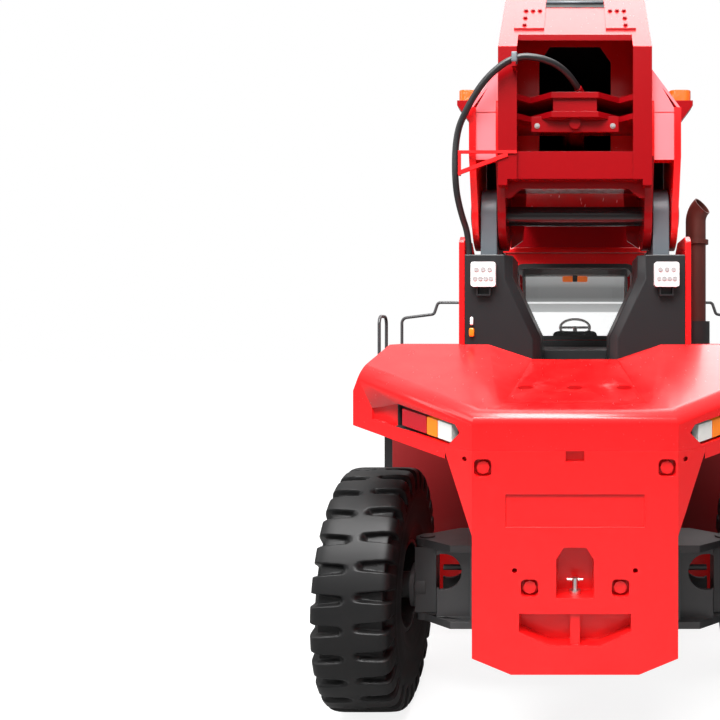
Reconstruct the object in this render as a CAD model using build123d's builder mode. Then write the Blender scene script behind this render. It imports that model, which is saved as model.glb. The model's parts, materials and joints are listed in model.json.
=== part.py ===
from math import atan2, cos, degrees, hypot, radians, sin, tan
import os

from build123d import *

os.makedirs("parts", exist_ok=True)

# Driving sizes in mm: +X is the machine's right, +Y its front, Z = 0 the ground
TYRE_R = 820
TYRE_W = 500
RIM_R = 317
RIM_W = 410
WHEELBASE = 6000
REAR_TRACK = 2760
DUAL_PITCH = 580
FRONT_WIDTH = 4150
REAR_OVERHANG = 1310
SPREADER_AHEAD = 4300
LOCK_LENGTH = 5853
LOCK_WIDTH = 2259
END_HALF_DEPTH = 1210
CHASSIS_BOTTOM = 1200
CHASSIS_TOP = 1750
GIRDER_IN = 330
GIRDER_OUT = 450
DECK_T = 40
DECK_HALF = 1950
HOOD_HALF = 1420
HOOD_SEAM_Z = 1965
POST_OUT = 765
POST_TOP = 3150
PIVOT_AHEAD = 90
PIVOT_Z = 3450
PIVOT_R = 70
BOOM_HALF = 480
BOOM_BOTTOM = 3700
BOOM_TOP = 4850
TAIL_TOP = 5150
BOOM_WALL = 25
BOOM_GAP = 35
CAB_HALF = 670
CAB_ROOF_Z = 3380
KINGPIN_X = 1050
LIFT_X = 840
LIFT_R = 120
NOSE_Z = 3000
SPREADER_TOP = 2050
FIT = 0.05

# Places along the machine that follow from those sizes
REAR_Y = -(REAR_OVERHANG + WHEELBASE + SPREADER_AHEAD + END_HALF_DEPTH) / 2
REAR_AXLE_Y = REAR_Y + REAR_OVERHANG
FRONT_AXLE_Y = REAR_AXLE_Y + WHEELBASE
SPREADER_Y = FRONT_AXLE_Y + SPREADER_AHEAD
WEIGHT_FRONT = REAR_Y + 560
POST_REAR = REAR_AXLE_Y - 150
POST_FRONT = REAR_AXLE_Y + 400
PIVOT_Y = REAR_AXLE_Y + PIVOT_AHEAD
TAIL_Y = PIVOT_Y - 380
TAIL_REAR = TAIL_Y - 30
BASE_REAR = TAIL_Y + 540
DECK_TOP = CHASSIS_TOP + DECK_T
DECK_REAR = REAR_AXLE_Y + 1060
CAB_REAR = REAR_AXLE_Y + 1950
CAB_FRONT = CAB_REAR + 1900
NOSE_END = FRONT_AXLE_Y + 600
LIFT_FOOT = (FRONT_AXLE_Y - 510, 1150)
LIFT_HEAD = (PIVOT_Y + 3000, PIVOT_Z + 500)
BOOM_FRONT = SPREADER_Y - 2300
BOOM_TALL = BOOM_TOP - BOOM_BOTTOM
INNER_REAR = BOOM_FRONT - 6200
INNER_HALF = BOOM_HALF - BOOM_WALL - 25
INNER_BOTTOM = BOOM_BOTTOM + BOOM_WALL + BOOM_GAP
INNER_TOP = BOOM_TOP - BOOM_WALL - BOOM_GAP
SIDES = (("left", -1), ("right", 1))


def block(x0, x1, y0, y1, z0, z1, mode=Mode.ADD):
    """A box between two corners."""
    with Locations(((x0 + x1) / 2, (y0 + y1) / 2, (z0 + z1) / 2)):
        Box(abs(x1 - x0), abs(y1 - y0), abs(z1 - z0), mode=mode)


def pair(x0, x1, y0, y1, z0, z1, mode=Mode.ADD):
    """The same box on the right and, mirrored, on the left."""
    for _, s in SIDES:
        block(s * x0, s * x1, y0, y1, z0, z1, mode)


def across(x0, x1, y, z, r, mode=Mode.ADD):
    """A round bar along X."""
    with Locations(((x0 + x1) / 2, y, z)):
        Cylinder(r, abs(x1 - x0), rotation=(0, 90, 0), mode=mode)


def upright(x, y, z0, z1, r, mode=Mode.ADD):
    """A round bar along Z."""
    with Locations((x, y, (z0 + z1) / 2)):
        Cylinder(r, z1 - z0, mode=mode)


def along(y0, y1, x, z, r, mode=Mode.ADD):
    """A round bar along Y."""
    with Locations((x, (y0 + y1) / 2, z)):
        Cylinder(r, abs(y1 - y0), rotation=(90, 0, 0), mode=mode)


def side_plate(points, x0, x1, mode=Mode.ADD):
    """A plate seen from the side: (Y, Z) corners, between two X."""
    with BuildSketch(Plane.YZ.offset(min(x0, x1))) as outline:
        Polygon(*points, align=None)
    extrude(outline.sketch, amount=abs(x1 - x0), mode=mode)


def rear_plate(points, y0, y1, mode=Mode.ADD):
    """A plate seen from behind: (X, Z) corners, between two Y."""
    with BuildSketch(Plane.XZ.offset(-max(y0, y1))) as outline:
        Polygon(*points, align=None)
    extrude(outline.sketch, amount=abs(y1 - y0), mode=mode)


def flat_plate(points, z0, z1, mode=Mode.ADD):
    """A plate seen from above: (X, Y) corners, between two Z."""
    with BuildSketch(Plane.XY.offset(z0)) as outline:
        Polygon(*points, align=None)
    extrude(outline.sketch, amount=z1 - z0, mode=mode)


def rear_pads(places, shape, y0, y1, mode=Mode.ADD):
    """The same flat shape at several (X, Z) places, seen from behind, between two Y."""
    with BuildSketch(Plane.XZ.offset(-max(y0, y1))) as pads:
        with Locations(*places):
            shape()
    extrude(pads.sketch, amount=abs(y1 - y0), mode=mode)


def side_pads(places, shape, x0, x1, mode=Mode.ADD):
    """The same flat shape at several (Y, Z) places, seen from the side, between two X."""
    with BuildSketch(Plane.YZ.offset(min(x0, x1))) as pads:
        with Locations(*places):
            shape()
    extrude(pads.sketch, amount=abs(x1 - x0), mode=mode)


def rear_loft(sections, mode=Mode.ADD):
    """A straight-sided loft through outlines seen from behind: (Y, (X, Z) corners) for each."""
    faces = []
    for y, points in sections:
        with BuildSketch(Plane.XZ.offset(-y)) as outline:
            Polygon(*points, align=None)
        faces.append(outline.sketch.face())
    loft(faces, ruled=True, mode=mode)


def mirrored(points):
    """A right half outline closed by its own mirror image."""
    return [*points, *[(-x, v) for x, v in reversed(points)]]


def flipped(points, s):
    """A right hand outline, or the left hand one if s is -1."""
    return [(s * x, v) for x, v in (points if s > 0 else reversed(points))]


def both(places):
    """Each (X, Z) place and its mirror image."""
    return [(s * x, z) for x, z in places for s in (-1, 1)]


def turned(points, x, y, z):
    """A ring: an (X, radius) outline turned about the wheel's axle at x, y, z."""
    with BuildSketch(Plane((x, y, z), x_dir=(1, 0, 0), z_dir=(0, -1, 0))) as outline:
        Polygon(*points, align=None)
    revolve(outline.sketch, axis=Axis((x, y, z), (1, 0, 0)))


def pipe(points, radii, r):
    """A round hose or rail along straight runs joined by tangent arcs of the given radii."""
    with BuildLine() as route:
        FilletPolyline(*points, radius=radii)
    with BuildSketch(Plane(route.line @ 0, z_dir=route.line % 0)) as ring:
        Circle(r)
    sweep(ring.sketch, path=route.line)


def save(name, built):
    """Label a finished sub-part and write its STEP file."""
    built.part.label = name
    export_step(built.part, f"parts/{name}.step")


# Chassis: two box girders, cross members, axle saddles and the lift cylinders' feet
with BuildPart() as chassis_frame:
    pair(GIRDER_IN, GIRDER_OUT, WEIGHT_FRONT, NOSE_END, CHASSIS_BOTTOM, CHASSIS_TOP)
    for y0, y1 in (
        (WEIGHT_FRONT, WEIGHT_FRONT + 150),
        (REAR_AXLE_Y - 150, REAR_AXLE_Y + 150),
        (DECK_REAR - 200, DECK_REAR - 50),
        (CAB_REAR, CAB_REAR + 150),
        (LIFT_FOOT[0] - 140, LIFT_FOOT[0] + 140),
        (NOSE_END - 150, NOSE_END),
    ):
        block(-GIRDER_IN, GIRDER_IN, y0, y1, CHASSIS_BOTTOM, CHASSIS_TOP - 150)
    pair(GIRDER_IN, GIRDER_OUT, FRONT_AXLE_Y - 150, FRONT_AXLE_Y + 150, TYRE_R + 200, CHASSIS_BOTTOM)
    pair(GIRDER_OUT, LIFT_X - 135, LIFT_FOOT[0] - 170, LIFT_FOOT[0] + 170, 1000, 1330)
    for _, s in SIDES:
        across(s * (LIFT_X - 135), s * (LIFT_X + 125), *LIFT_FOOT, 60)
        across(s * (LIFT_X + 125), s * (LIFT_X + 145), *LIFT_FOOT, 90)
save("chassis_frame", chassis_frame)

# Counterweight: flared block swept like the hood, bolt pockets, bare plate, tow recess and hand hold
SWEEP_X, SWEEP_Y = 560, 750
HOOD_END = POST_REAR + 440
hood_plan = [(SWEEP_X, REAR_Y), (HOOD_HALF, REAR_Y + SWEEP_Y), (HOOD_HALF, HOOD_END)]
WEIGHT_HALF = 730
BOLT_PLACES = ((501, 1873), (247, 1220))
HOLE_PLACES = ((606, 1915), (328, 1315))
POCKET, POCKET_DEEP, HEAD_R, HEAD_TALL = 95, 70, 36, 52
PLATE_HALF, PLATE_LOW, PLATE_HIGH, PLATE_DEEP = 378, 1550, 1730, 12
TOW_LOW, TOW_DEEP, TOW_PIN_Y = 1165, 160, REAR_Y + 75
with BuildPart() as counterweight:
    flare = [(347, 750), (SWEEP_X, 838), (SWEEP_X, 1502), (WEIGHT_HALF, 1936), (WEIGHT_HALF, HOOD_SEAM_Z)]
    rear_plate(mirrored(flare), REAR_Y, WEIGHT_FRONT)
    flat_plate(mirrored(hood_plan), 0, HOOD_SEAM_Z, Mode.INTERSECT)
    rear_pads(
        both(BOLT_PLACES),
        lambda: RectangleRounded(POCKET, POCKET, 26),
        REAR_Y,
        REAR_Y + POCKET_DEEP,
        Mode.SUBTRACT,
    )
    rear_pads(
        both(BOLT_PLACES),
        lambda: RegularPolygon(HEAD_R, 8),
        REAR_Y + POCKET_DEEP - HEAD_TALL,
        REAR_Y + POCKET_DEEP,
    )
    rear_pads(both(HOLE_PLACES), lambda: Circle(14), REAR_Y, REAR_Y + 100, Mode.SUBTRACT)
    block(-PLATE_HALF, PLATE_HALF, REAR_Y, REAR_Y + PLATE_DEEP, PLATE_LOW, PLATE_HIGH, Mode.SUBTRACT)
    block(-51, 51, REAR_Y, REAR_Y + 50, HOOD_SEAM_Z - 60, HOOD_SEAM_Z, Mode.SUBTRACT)
    rear_plate(
        mirrored([(102, TOW_LOW), (102, 1375), (62, 1441)]), REAR_Y, REAR_Y + TOW_DEEP, Mode.SUBTRACT
    )
    upright(0, TOW_PIN_Y, TOW_LOW - 60, TOW_LOW, 16, Mode.SUBTRACT)
    rear_plate(
        mirrored([(140, 908), (304, 983), (304, 1081)]), REAR_Y, REAR_Y + 110, Mode.SUBTRACT
    )
    block(-26, 26, REAR_Y + 15, REAR_Y + 110, 908, 1081)
save("counterweight", counterweight)

with BuildPart() as tow_pin:
    upright(0, TOW_PIN_Y, TOW_LOW - 60, TOW_LOW + 90, 16)
    upright(0, TOW_PIN_Y, TOW_LOW, TOW_LOW + 24, 32)
    across(-45, 45, TOW_PIN_Y, TOW_LOW + 80, 7)
save("tow_pin", tow_pin)

# Rear hood: swept wings, a top that falls to the rear with a trough before the tower, lamp recesses
HOOD_FRONT_Z, HOOD_REAR_Z, TROUGH_Z = 2527, 2172, 2427
WING_LOW_IN, WING_LOW_OUT = 1900, 2017
SIDE_BREAK_Z, SIDE_LEAN = 2238, 0.476
wing = atan2(SWEEP_Y, HOOD_HALF - SWEEP_X)


def wing_plate(points, s, low, high, mode=Mode.ADD):
    """A plate on a swept wing: (distance along the wing, Z) corners, between two depths from its face."""
    face = Plane(
        (s * SWEEP_X, REAR_Y, 0),
        x_dir=(cos(wing), s * sin(wing), 0),
        z_dir=(s * sin(wing), -cos(wing), 0),
    )
    with BuildSketch(face.offset(low)) as outline:
        Polygon(*flipped(points, s), align=None)
    extrude(outline.sketch, amount=high - low, mode=mode)


LAMP_LOW, LAMP_TALL, LAMP_RISE, RECESS_DEEP = 1966, 100, 0.138, 60
recess = [(100, 2055), (140, 2098), (660, 2181), (700, 2176), (700, 2047), (650, 2040), (200, 1978)]
recess_tip = [(690, 2177), (930, 2140), (930, 2072), (690, 2046)]
with BuildPart() as rear_hood:
    flat_plate(mirrored(hood_plan), WING_LOW_IN - 20, HOOD_FRONT_Z)
    side_plate(
        [(REAR_Y, HOOD_REAR_Z), (POST_REAR, HOOD_FRONT_Z), (REAR_Y, HOOD_FRONT_Z)],
        -HOOD_HALF,
        HOOD_HALF,
        Mode.SUBTRACT,
    )
    lean_x = SIDE_LEAN * (HOOD_FRONT_Z - SIDE_BREAK_Z)
    for _, s in SIDES:
        rear_plate(
            flipped(
                [(HOOD_HALF, SIDE_BREAK_Z), (HOOD_HALF, HOOD_FRONT_Z), (HOOD_HALF - lean_x, HOOD_FRONT_Z)],
                s,
            ),
            REAR_Y,
            HOOD_END,
            Mode.SUBTRACT,
        )
        under = [(WEIGHT_HALF, WING_LOW_IN - 20), (HOOD_HALF, WING_LOW_IN - 20), (HOOD_HALF, WING_LOW_OUT)]
        rear_plate(flipped([*under, (WEIGHT_HALF, WING_LOW_IN)], s), REAR_Y, HOOD_END, Mode.SUBTRACT)
    block(-WEIGHT_HALF, WEIGHT_HALF, REAR_Y, HOOD_END, WING_LOW_IN - 20, HOOD_SEAM_Z, Mode.SUBTRACT)
    top_edges = [e for e in rear_hood.edges() if e.center().Z > 2150 and e.center().Y < POST_REAR - 200]
    fillet([e for e in top_edges if e.center().Y < REAR_Y + SWEEP_Y / 2 + 40 and e.length > 500], 90)
    inner = [
        (SWEEP_X - 60, REAR_Y + 130),
        (HOOD_HALF - 120, REAR_Y + SWEEP_Y + 90),
        (HOOD_HALF - 120, HOOD_END),
    ]
    flat_plate(mirrored(inner), WING_LOW_IN - 20, 2090, Mode.SUBTRACT)
    block(-POST_OUT - 45, POST_OUT + 45, POST_REAR, HOOD_END, WING_LOW_IN, HOOD_FRONT_Z, Mode.SUBTRACT)
    rear_loft(
        (
            (POST_REAR, mirrored([(294, TROUGH_Z), (602, HOOD_FRONT_Z + 2)])),
            (REAR_Y + 130, mirrored([(400, HOOD_REAR_Z + 37), (470, HOOD_REAR_Z + 46)])),
        ),
        Mode.SUBTRACT,
    )
    with Locations(*[(x, REAR_Y + 440, 2275 + 88) for x in (-297, 0, 297)]):
        Sphere(100, mode=Mode.SUBTRACT)
    for _, s in SIDES:
        wing_plate(recess, s, -RECESS_DEEP, 5, Mode.SUBTRACT)
        wing_plate(recess_tip, s, -25, 5, Mode.SUBTRACT)
save("rear_hood", rear_hood)

# Boom tower: two posts with a V between them, cross wall, and the lugs that carry the boom pivot
V_TOP_X, V_BREAK_Z, V_LOW_X, V_LOW_Z, V_BEVEL = 435, 2995, 240, 2580, 55
LUG_IN, LUG_OUT, LUG_R = 545, 660, 190
post = [(V_LOW_X, CHASSIS_TOP), (POST_OUT, CHASSIS_TOP), (POST_OUT, POST_TOP), (V_TOP_X, POST_TOP)]
post += [(V_TOP_X, V_BREAK_Z), (V_LOW_X, V_LOW_Z)]
with BuildPart() as boom_tower:
    for _, s in SIDES:
        rear_plate(flipped(post, s), POST_REAR, POST_FRONT)
    v_edges = boom_tower.faces().sort_by(Axis.Y)[:2].edges().filter_by(
        lambda e: abs(e.center().X) < V_TOP_X + 1,
    )
    chamfer(v_edges, V_BEVEL)
    for _, s in SIDES:
        block(s * LUG_IN, s * LUG_OUT, PIVOT_Y - LUG_R, PIVOT_Y + LUG_R, POST_TOP, PIVOT_Z)
        across(s * LUG_IN, s * LUG_OUT, PIVOT_Y, PIVOT_Z, LUG_R)
        across(s * LUG_IN, s * LUG_OUT, PIVOT_Y, PIVOT_Z, PIVOT_R + FIT, Mode.SUBTRACT)
    block(-V_LOW_X, V_LOW_X, POST_REAR + 250, POST_REAR + 300, CHASSIS_TOP, TROUGH_Z - 30)
save("boom_tower", boom_tower)

with BuildPart() as tower_plates:
    outline = [(POST_REAR, CHASSIS_TOP), (POST_FRONT + 250, CHASSIS_TOP), (POST_FRONT + 60, POST_TOP + 30)]
    outline += [
        (POST_FRONT - 120, POST_TOP + 130),
        (POST_REAR + 60, POST_TOP + 130),
        (POST_REAR, POST_TOP + 90),
    ]
    for _, s in SIDES:
        side_plate(outline, s * POST_OUT, s * (POST_OUT + 40))
save("tower_plates", tower_plates)

# Lamps: clusters in the wings' recesses, square work lamps on the posts, head lamps on the fenders
with BuildPart() as tail_lamps:
    for start, end in ((185, 305), (312, 405), (412, 640)):
        for _, s in SIDES:
            low = [LAMP_LOW + LAMP_RISE * u for u in (start, end)]
            lens = [(start, low[0]), (end, low[1]), (end, low[1] + LAMP_TALL), (start, low[0] + LAMP_TALL)]
            wing_plate(lens, s, -RECESS_DEEP, -12)
save("tail_lamps", tail_lamps)

WORK_X, WORK_Z, WORK_HALF = 630, 3010, 85
with BuildPart() as work_lamps:
    rear_pads(
        both([(WORK_X, WORK_Z)]),
        lambda: RectangleRounded(2 * WORK_HALF, 2 * WORK_HALF, 18),
        POST_REAR - 60,
        POST_REAR,
    )
    pair(
        WORK_X - 48,
        WORK_X + 48,
        POST_REAR - 40,
        POST_REAR,
        WORK_Z - WORK_HALF - 62,
        WORK_Z - WORK_HALF - 50,
    )
    for x in (WORK_X - 44, WORK_X + 44):
        pair(x - 5, x + 5, POST_REAR - 40, POST_REAR, WORK_Z - WORK_HALF - 55, WORK_Z - WORK_HALF + 5)
    rear_pads(
        both([(1580, DECK_TOP + 80)]),
        lambda: RectangleRounded(160, 160, 18),
        FRONT_AXLE_Y + 500,
        FRONT_AXLE_Y + 570,
    )
save("work_lamps", work_lamps)

# Engine and its cover between the tower and the cab, with louvres in its sides and top
COVER_HALF, COVER_TOP, COVER_T = 600, 2480, 30
COVER_FRONT = CAB_REAR - 100
with BuildPart() as engine_cover:
    block(-COVER_HALF, COVER_HALF, POST_FRONT, COVER_FRONT, DECK_TOP, COVER_TOP)
    chamfer(engine_cover.faces().sort_by(Axis.Z)[-1].edges().filter_by(Axis.Y), 60)
    block(
        COVER_T - COVER_HALF,
        COVER_HALF - COVER_T,
        POST_FRONT + COVER_T,
        COVER_FRONT - COVER_T,
        DECK_TOP,
        COVER_TOP - 70,
        Mode.SUBTRACT,
    )
    for n in range(7):
        z = DECK_TOP + 180 + n * 60
        pair(
            COVER_HALF - COVER_T,
            COVER_HALF,
            POST_FRONT + 500,
            COVER_FRONT - 150,
            z,
            z + 26,
            Mode.SUBTRACT,
        )
        y = POST_FRONT + 80 + n * 60
        block(-420, 420, y, y + 26, COVER_TOP - 70, COVER_TOP, Mode.SUBTRACT)
save("engine_cover", engine_cover)

with BuildPart() as engine_block:
    block(-380, 380, DECK_REAR + 40, COVER_FRONT - 90, DECK_TOP, 2250)
save("engine_block", engine_block)

# Decks that widen at the cab, bulkheads, tanks and steps
NARROW_HALF, WIDE_FROM = DECK_HALF - 400, CAB_REAR + 100
TANK_IN, TANK_OUT = NARROW_HALF - 850, NARROW_HALF - 70
with BuildPart() as side_decks:
    deck = [(NARROW_HALF, DECK_REAR), (NARROW_HALF, WIDE_FROM), (DECK_HALF, WIDE_FROM)]
    deck += [(DECK_HALF, FRONT_AXLE_Y - 900)]
    flat_plate(mirrored(deck), CHASSIS_TOP, DECK_TOP)
    pair(LIFT_X - 150, LIFT_X + 150, LIFT_FOOT[0] - 900, FRONT_AXLE_Y - 900, 1740, 1800, Mode.SUBTRACT)
    pair(500, NARROW_HALF, DECK_REAR, DECK_REAR + 20, 900, CHASSIS_TOP)
save("side_decks", side_decks)

for name, s in (("fuel_tank", -1), ("hydraulic_tank", 1)):
    with BuildPart() as tank:
        block(s * TANK_IN, s * TANK_OUT, DECK_REAR + 150, CAB_REAR + 150, CHASSIS_TOP - 800, CHASSIS_TOP)
        fillet(tank.edges().filter_by(Axis.Y), 70)
        block(
            s * (TANK_IN + 60),
            s * (TANK_OUT - 60),
            DECK_REAR + 150,
            CAB_REAR + 150,
            CHASSIS_TOP - 100,
            CHASSIS_TOP,
        )
    save(name, tank)

STEP_DEEP, STEP_LOW, STEP_RISE, STEP_WIDE = 250, 480, 420, 580
STEP_REAR = CAB_REAR + 480
STEP_FRONT = STEP_REAR + STEP_WIDE
with BuildPart() as steps:
    for y0, y1 in ((STEP_REAR - 20, STEP_REAR), (STEP_FRONT, STEP_FRONT + 20)):
        pair(DECK_HALF - STEP_DEEP, DECK_HALF, y0, y1, STEP_LOW, CHASSIS_TOP)
    for n in range(3):
        z = STEP_LOW + n * STEP_RISE
        pair(DECK_HALF - STEP_DEEP, DECK_HALF, STEP_REAR, STEP_FRONT, z, z + 30)
save("steps", steps)

# Grab rails beside the steps: a short hoop behind them, and a rail before them that jogs up to the cab
RAIL_R, RAIL_X, RAIL_LOW, RAIL_HIGH = 16, DECK_HALF - 25, 2775, 2950
HOOP_REAR, HOOP_FRONT, RAIL_Y = STEP_REAR - 330, STEP_REAR - 40, STEP_FRONT + 90
JOG_OUT, JOG_IN, RAIL_END = 1568, 1524, 1220
with BuildPart() as handrails:
    for _, s in SIDES:
        hoop = [(s * RAIL_X, HOOP_REAR, DECK_TOP), (s * RAIL_X, HOOP_REAR, RAIL_LOW)]
        hoop += [(s * RAIL_X, HOOP_FRONT, RAIL_LOW), (s * RAIL_X, HOOP_FRONT, DECK_TOP)]
        pipe(hoop, [80, 80], RAIL_R)
        rise = [
            (s * RAIL_X, RAIL_Y, DECK_TOP),
            (s * RAIL_X, RAIL_Y, RAIL_LOW),
            (s * JOG_OUT, RAIL_Y, RAIL_LOW + 45),
        ]
        rise += [
            (s * JOG_IN, RAIL_Y, RAIL_HIGH),
            (s * RAIL_END, RAIL_Y, RAIL_HIGH),
            (s * RAIL_END, RAIL_Y, DECK_TOP),
        ]
        pipe(rise, [60, 40, 40, 60], RAIL_R)
save("handrails", handrails)

# Front fenders: a flat top that slopes down before and behind the twin wheels
FENDER_T, FENDER_REAR, FENDER_FRONT = 40, FRONT_AXLE_Y - 900, FRONT_AXLE_Y + 1000
with BuildPart() as front_fenders:
    top = [(FENDER_REAR, CHASSIS_TOP), (FENDER_REAR, DECK_TOP), (FRONT_AXLE_Y + 650, DECK_TOP)]
    top += [(FENDER_FRONT, 1500), (FENDER_FRONT - 30, 1470), (FRONT_AXLE_Y + 630, CHASSIS_TOP)]
    for _, s in SIDES:
        side_plate(top, s * 1000, s * FRONT_WIDTH / 2)
save("front_fenders", front_fenders)

# Axles and knuckles
with BuildPart() as front_axle:
    across(-930, 930, FRONT_AXLE_Y, TYRE_R, 190)
    across(-180, 180, FRONT_AXLE_Y, TYRE_R, 330)
    pair(GIRDER_IN, GIRDER_OUT, FRONT_AXLE_Y - 150, FRONT_AXLE_Y + 150, TYRE_R, TYRE_R + 200)
    for _, s in SIDES:
        across(s * 900, s * 980, FRONT_AXLE_Y, TYRE_R, 230)
        across(s * 980, s * (FRONT_WIDTH / 2 - 200), FRONT_AXLE_Y, TYRE_R, 125)
save("front_axle", front_axle)

AXLE_LOW, AXLE_HIGH, FLANGE_T = 590, 1160, 50
SHOULDER_X, WEB_END = KINGPIN_X - 200, KINGPIN_X - 90
EYE_Z, EYE_R = 951, 123
EYE_OUT = WEB_END - 16
with BuildPart() as steer_axle:
    half = [(SHOULDER_X, REAR_AXLE_Y - 240), (KINGPIN_X, REAR_AXLE_Y - 80), (KINGPIN_X, REAR_AXLE_Y + 80)]
    for z in (AXLE_LOW, AXLE_HIGH - FLANGE_T):
        flat_plate(mirrored([*half, (SHOULDER_X, REAR_AXLE_Y + 240)]), z, z + FLANGE_T)
        for _, s in SIDES:
            upright(s * KINGPIN_X, REAR_AXLE_Y, z, z + FLANGE_T, 80)
    for y in (REAR_AXLE_Y - 215, REAR_AXLE_Y + 185):
        block(-720, 720, y, y + 30, AXLE_LOW + FLANGE_T, AXLE_HIGH - FLANGE_T)
    for y in (REAR_AXLE_Y - 145, REAR_AXLE_Y + 115):
        pair(690, WEB_END, y, y + 30, AXLE_LOW + FLANGE_T, AXLE_HIGH - FLANGE_T)
    pair(690, 720, REAR_AXLE_Y - 200, REAR_AXLE_Y + 200, AXLE_LOW + FLANGE_T, AXLE_HIGH - FLANGE_T)
    eye_y = (REAR_AXLE_Y - 160, REAR_AXLE_Y + 160)
    pair(EYE_OUT - 34, EYE_OUT, *eye_y, EYE_Z - EYE_R, EYE_Z + EYE_R, Mode.SUBTRACT)
    for _, s in SIDES:
        along(*eye_y, s * (EYE_OUT - 34), EYE_Z, EYE_R, Mode.SUBTRACT)
        upright(s * KINGPIN_X, REAR_AXLE_Y, AXLE_LOW, AXLE_HIGH, 55 + FIT, Mode.SUBTRACT)
    across(-WEB_END + 25, WEB_END - 25, REAR_AXLE_Y, EYE_Z - 10, 20)
    across(-690, 690, REAR_AXLE_Y, EYE_Z - 10, 55)
    block(-200, 200, REAR_AXLE_Y - 200, REAR_AXLE_Y + 200, AXLE_HIGH - 60, CHASSIS_BOTTOM)
save("steer_axle", steer_axle)

for side, s in SIDES:
    with BuildPart() as knuckle:
        block(
            s * (KINGPIN_X - 75),
            s * (KINGPIN_X + 75),
            REAR_AXLE_Y - 75,
            REAR_AXLE_Y + 75,
            AXLE_LOW + 55,
            AXLE_HIGH - 55,
        )
        upright(s * KINGPIN_X, REAR_AXLE_Y, AXLE_LOW - 10, AXLE_HIGH + 10, 55)
        across(s * (KINGPIN_X + 70), s * (KINGPIN_X + 100), REAR_AXLE_Y, TYRE_R, 150)
        across(s * KINGPIN_X, s * (REAR_TRACK / 2 + 120), REAR_AXLE_Y, TYRE_R, 90)
    save(f"knuckle_{side}", knuckle)

# Wheels: tyre outlines out to the lug tips, rims with a disc and a hub
half_w, half_r = TYRE_W / 2, RIM_W / 2
tyre = [(-half_r, RIM_R), (-half_w, 480), (-half_w, 640), (-half_w + 25, 760), (-half_w + 70, TYRE_R)]
tyre += [(-x, r) for x, r in reversed(tyre)]
rim = [
    (-half_r, RIM_R),
    (half_r, RIM_R),
    (half_r, RIM_R - 30),
    (60, RIM_R - 30),
    (60, 90 + FIT),
    (10, 90 + FIT),
]
rim += [(10, RIM_R - 30), (-half_r, RIM_R - 30)]
for side, s in SIDES:
    with BuildPart() as rear_rim:
        turned([(s * x, r) for x, r in rim], s * REAR_TRACK / 2, REAR_AXLE_Y, TYRE_R)
    save(f"rear_rim_{side}", rear_rim)
    with BuildPart() as rear_tyre:
        turned(tyre, s * REAR_TRACK / 2, REAR_AXLE_Y, TYRE_R)
    save(f"rear_tyre_{side}", rear_tyre)
    outer = FRONT_WIDTH / 2 - half_w
    with BuildPart() as front_tyres:
        for x in (outer - DUAL_PITCH, outer):
            turned(tyre, s * x, FRONT_AXLE_Y, TYRE_R)
    save(f"front_tyres_{side}", front_tyres)
    with BuildPart() as front_rims:
        for x in (outer - DUAL_PITCH, outer):
            turned([(s * u, max(r, 130)) for u, r in rim], s * x, FRONT_AXLE_Y, TYRE_R)
        across(s * (outer - DUAL_PITCH - 100), s * (outer + 120), FRONT_AXLE_Y, TYRE_R, 165)
        across(
            s * (outer - DUAL_PITCH - 100),
            s * (outer + 90),
            FRONT_AXLE_Y,
            TYRE_R,
            125 + FIT,
            Mode.SUBTRACT,
        )
    save(f"front_rims_{side}", front_rims)

# Cab: floor, walls with their openings, roof, glass, doors, seat and console
CAB_LOW = DECK_TOP + 60
DOOR_REAR, DOOR_FRONT = CAB_REAR + 190, CAB_REAR + 1210
with BuildPart() as cab_floor:
    block(-CAB_HALF, CAB_HALF, CAB_REAR, CAB_FRONT, DECK_TOP, CAB_LOW)
save("cab_floor", cab_floor)

with BuildPart() as cab_roof:
    block(-CAB_HALF - 20, CAB_HALF + 20, CAB_REAR - 20, CAB_FRONT + 20, CAB_ROOF_Z, CAB_ROOF_Z + 70)
    fillet(cab_roof.faces().sort_by(Axis.Z)[-1].edges(), 40)
save("cab_roof", cab_roof)

WINDOW_LOW, WINDOW_HIGH = 2200, CAB_ROOF_Z - 100
HINGE_Z = (2060, 3060)
SCREENS = (("back", CAB_REAR, 1140, 2560, 3260), ("front", CAB_FRONT - 50, 1200, 2080, 3300))


def screen(wide, low, high):
    """A window with rounded corners."""
    return lambda: RectangleRounded(wide, high - low, 90)


for name, y, wide, low, high in SCREENS:
    with BuildPart() as wall:
        block(-CAB_HALF, CAB_HALF, y, y + 50, CAB_LOW, CAB_ROOF_Z)
        rear_pads([(0, (low + high) / 2)], screen(wide, low, high), y, y + 50, Mode.SUBTRACT)
    save(f"cab_{name}", wall)

with BuildPart() as cab_sides:
    pair(CAB_HALF - 45, CAB_HALF, CAB_REAR + 50, CAB_FRONT - 50, CAB_LOW, CAB_ROOF_Z)
    pair(600, 700, DOOR_REAR, DOOR_FRONT, CAB_LOW + 10, CAB_ROOF_Z - 80, Mode.SUBTRACT)
    pair(600, 700, DOOR_FRONT + 90, CAB_FRONT - 120, WINDOW_LOW, WINDOW_HIGH, Mode.SUBTRACT)
    for z in HINGE_Z:
        pair(CAB_HALF, CAB_HALF + 14, DOOR_REAR - 60, DOOR_REAR - 4, z, z + 40)
        for _, s in SIDES:
            upright(s * (CAB_HALF + 14), DOOR_REAR - 4, z, z + 40, 14)
            upright(s * (CAB_HALF + 14), DOOR_REAR - 4, z, z + 40, 8 + FIT, Mode.SUBTRACT)
save("cab_sides", cab_sides)

with BuildPart() as cab_glass:
    for _, y, wide, low, high in SCREENS:
        rear_pads([(0, (low + high) / 2)], screen(wide, low, high), y + 20, y + 30)
    pair(CAB_HALF - 28, CAB_HALF - 18, DOOR_FRONT + 90, CAB_FRONT - 120, WINDOW_LOW, WINDOW_HIGH)
save("cab_glass", cab_glass)

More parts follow.
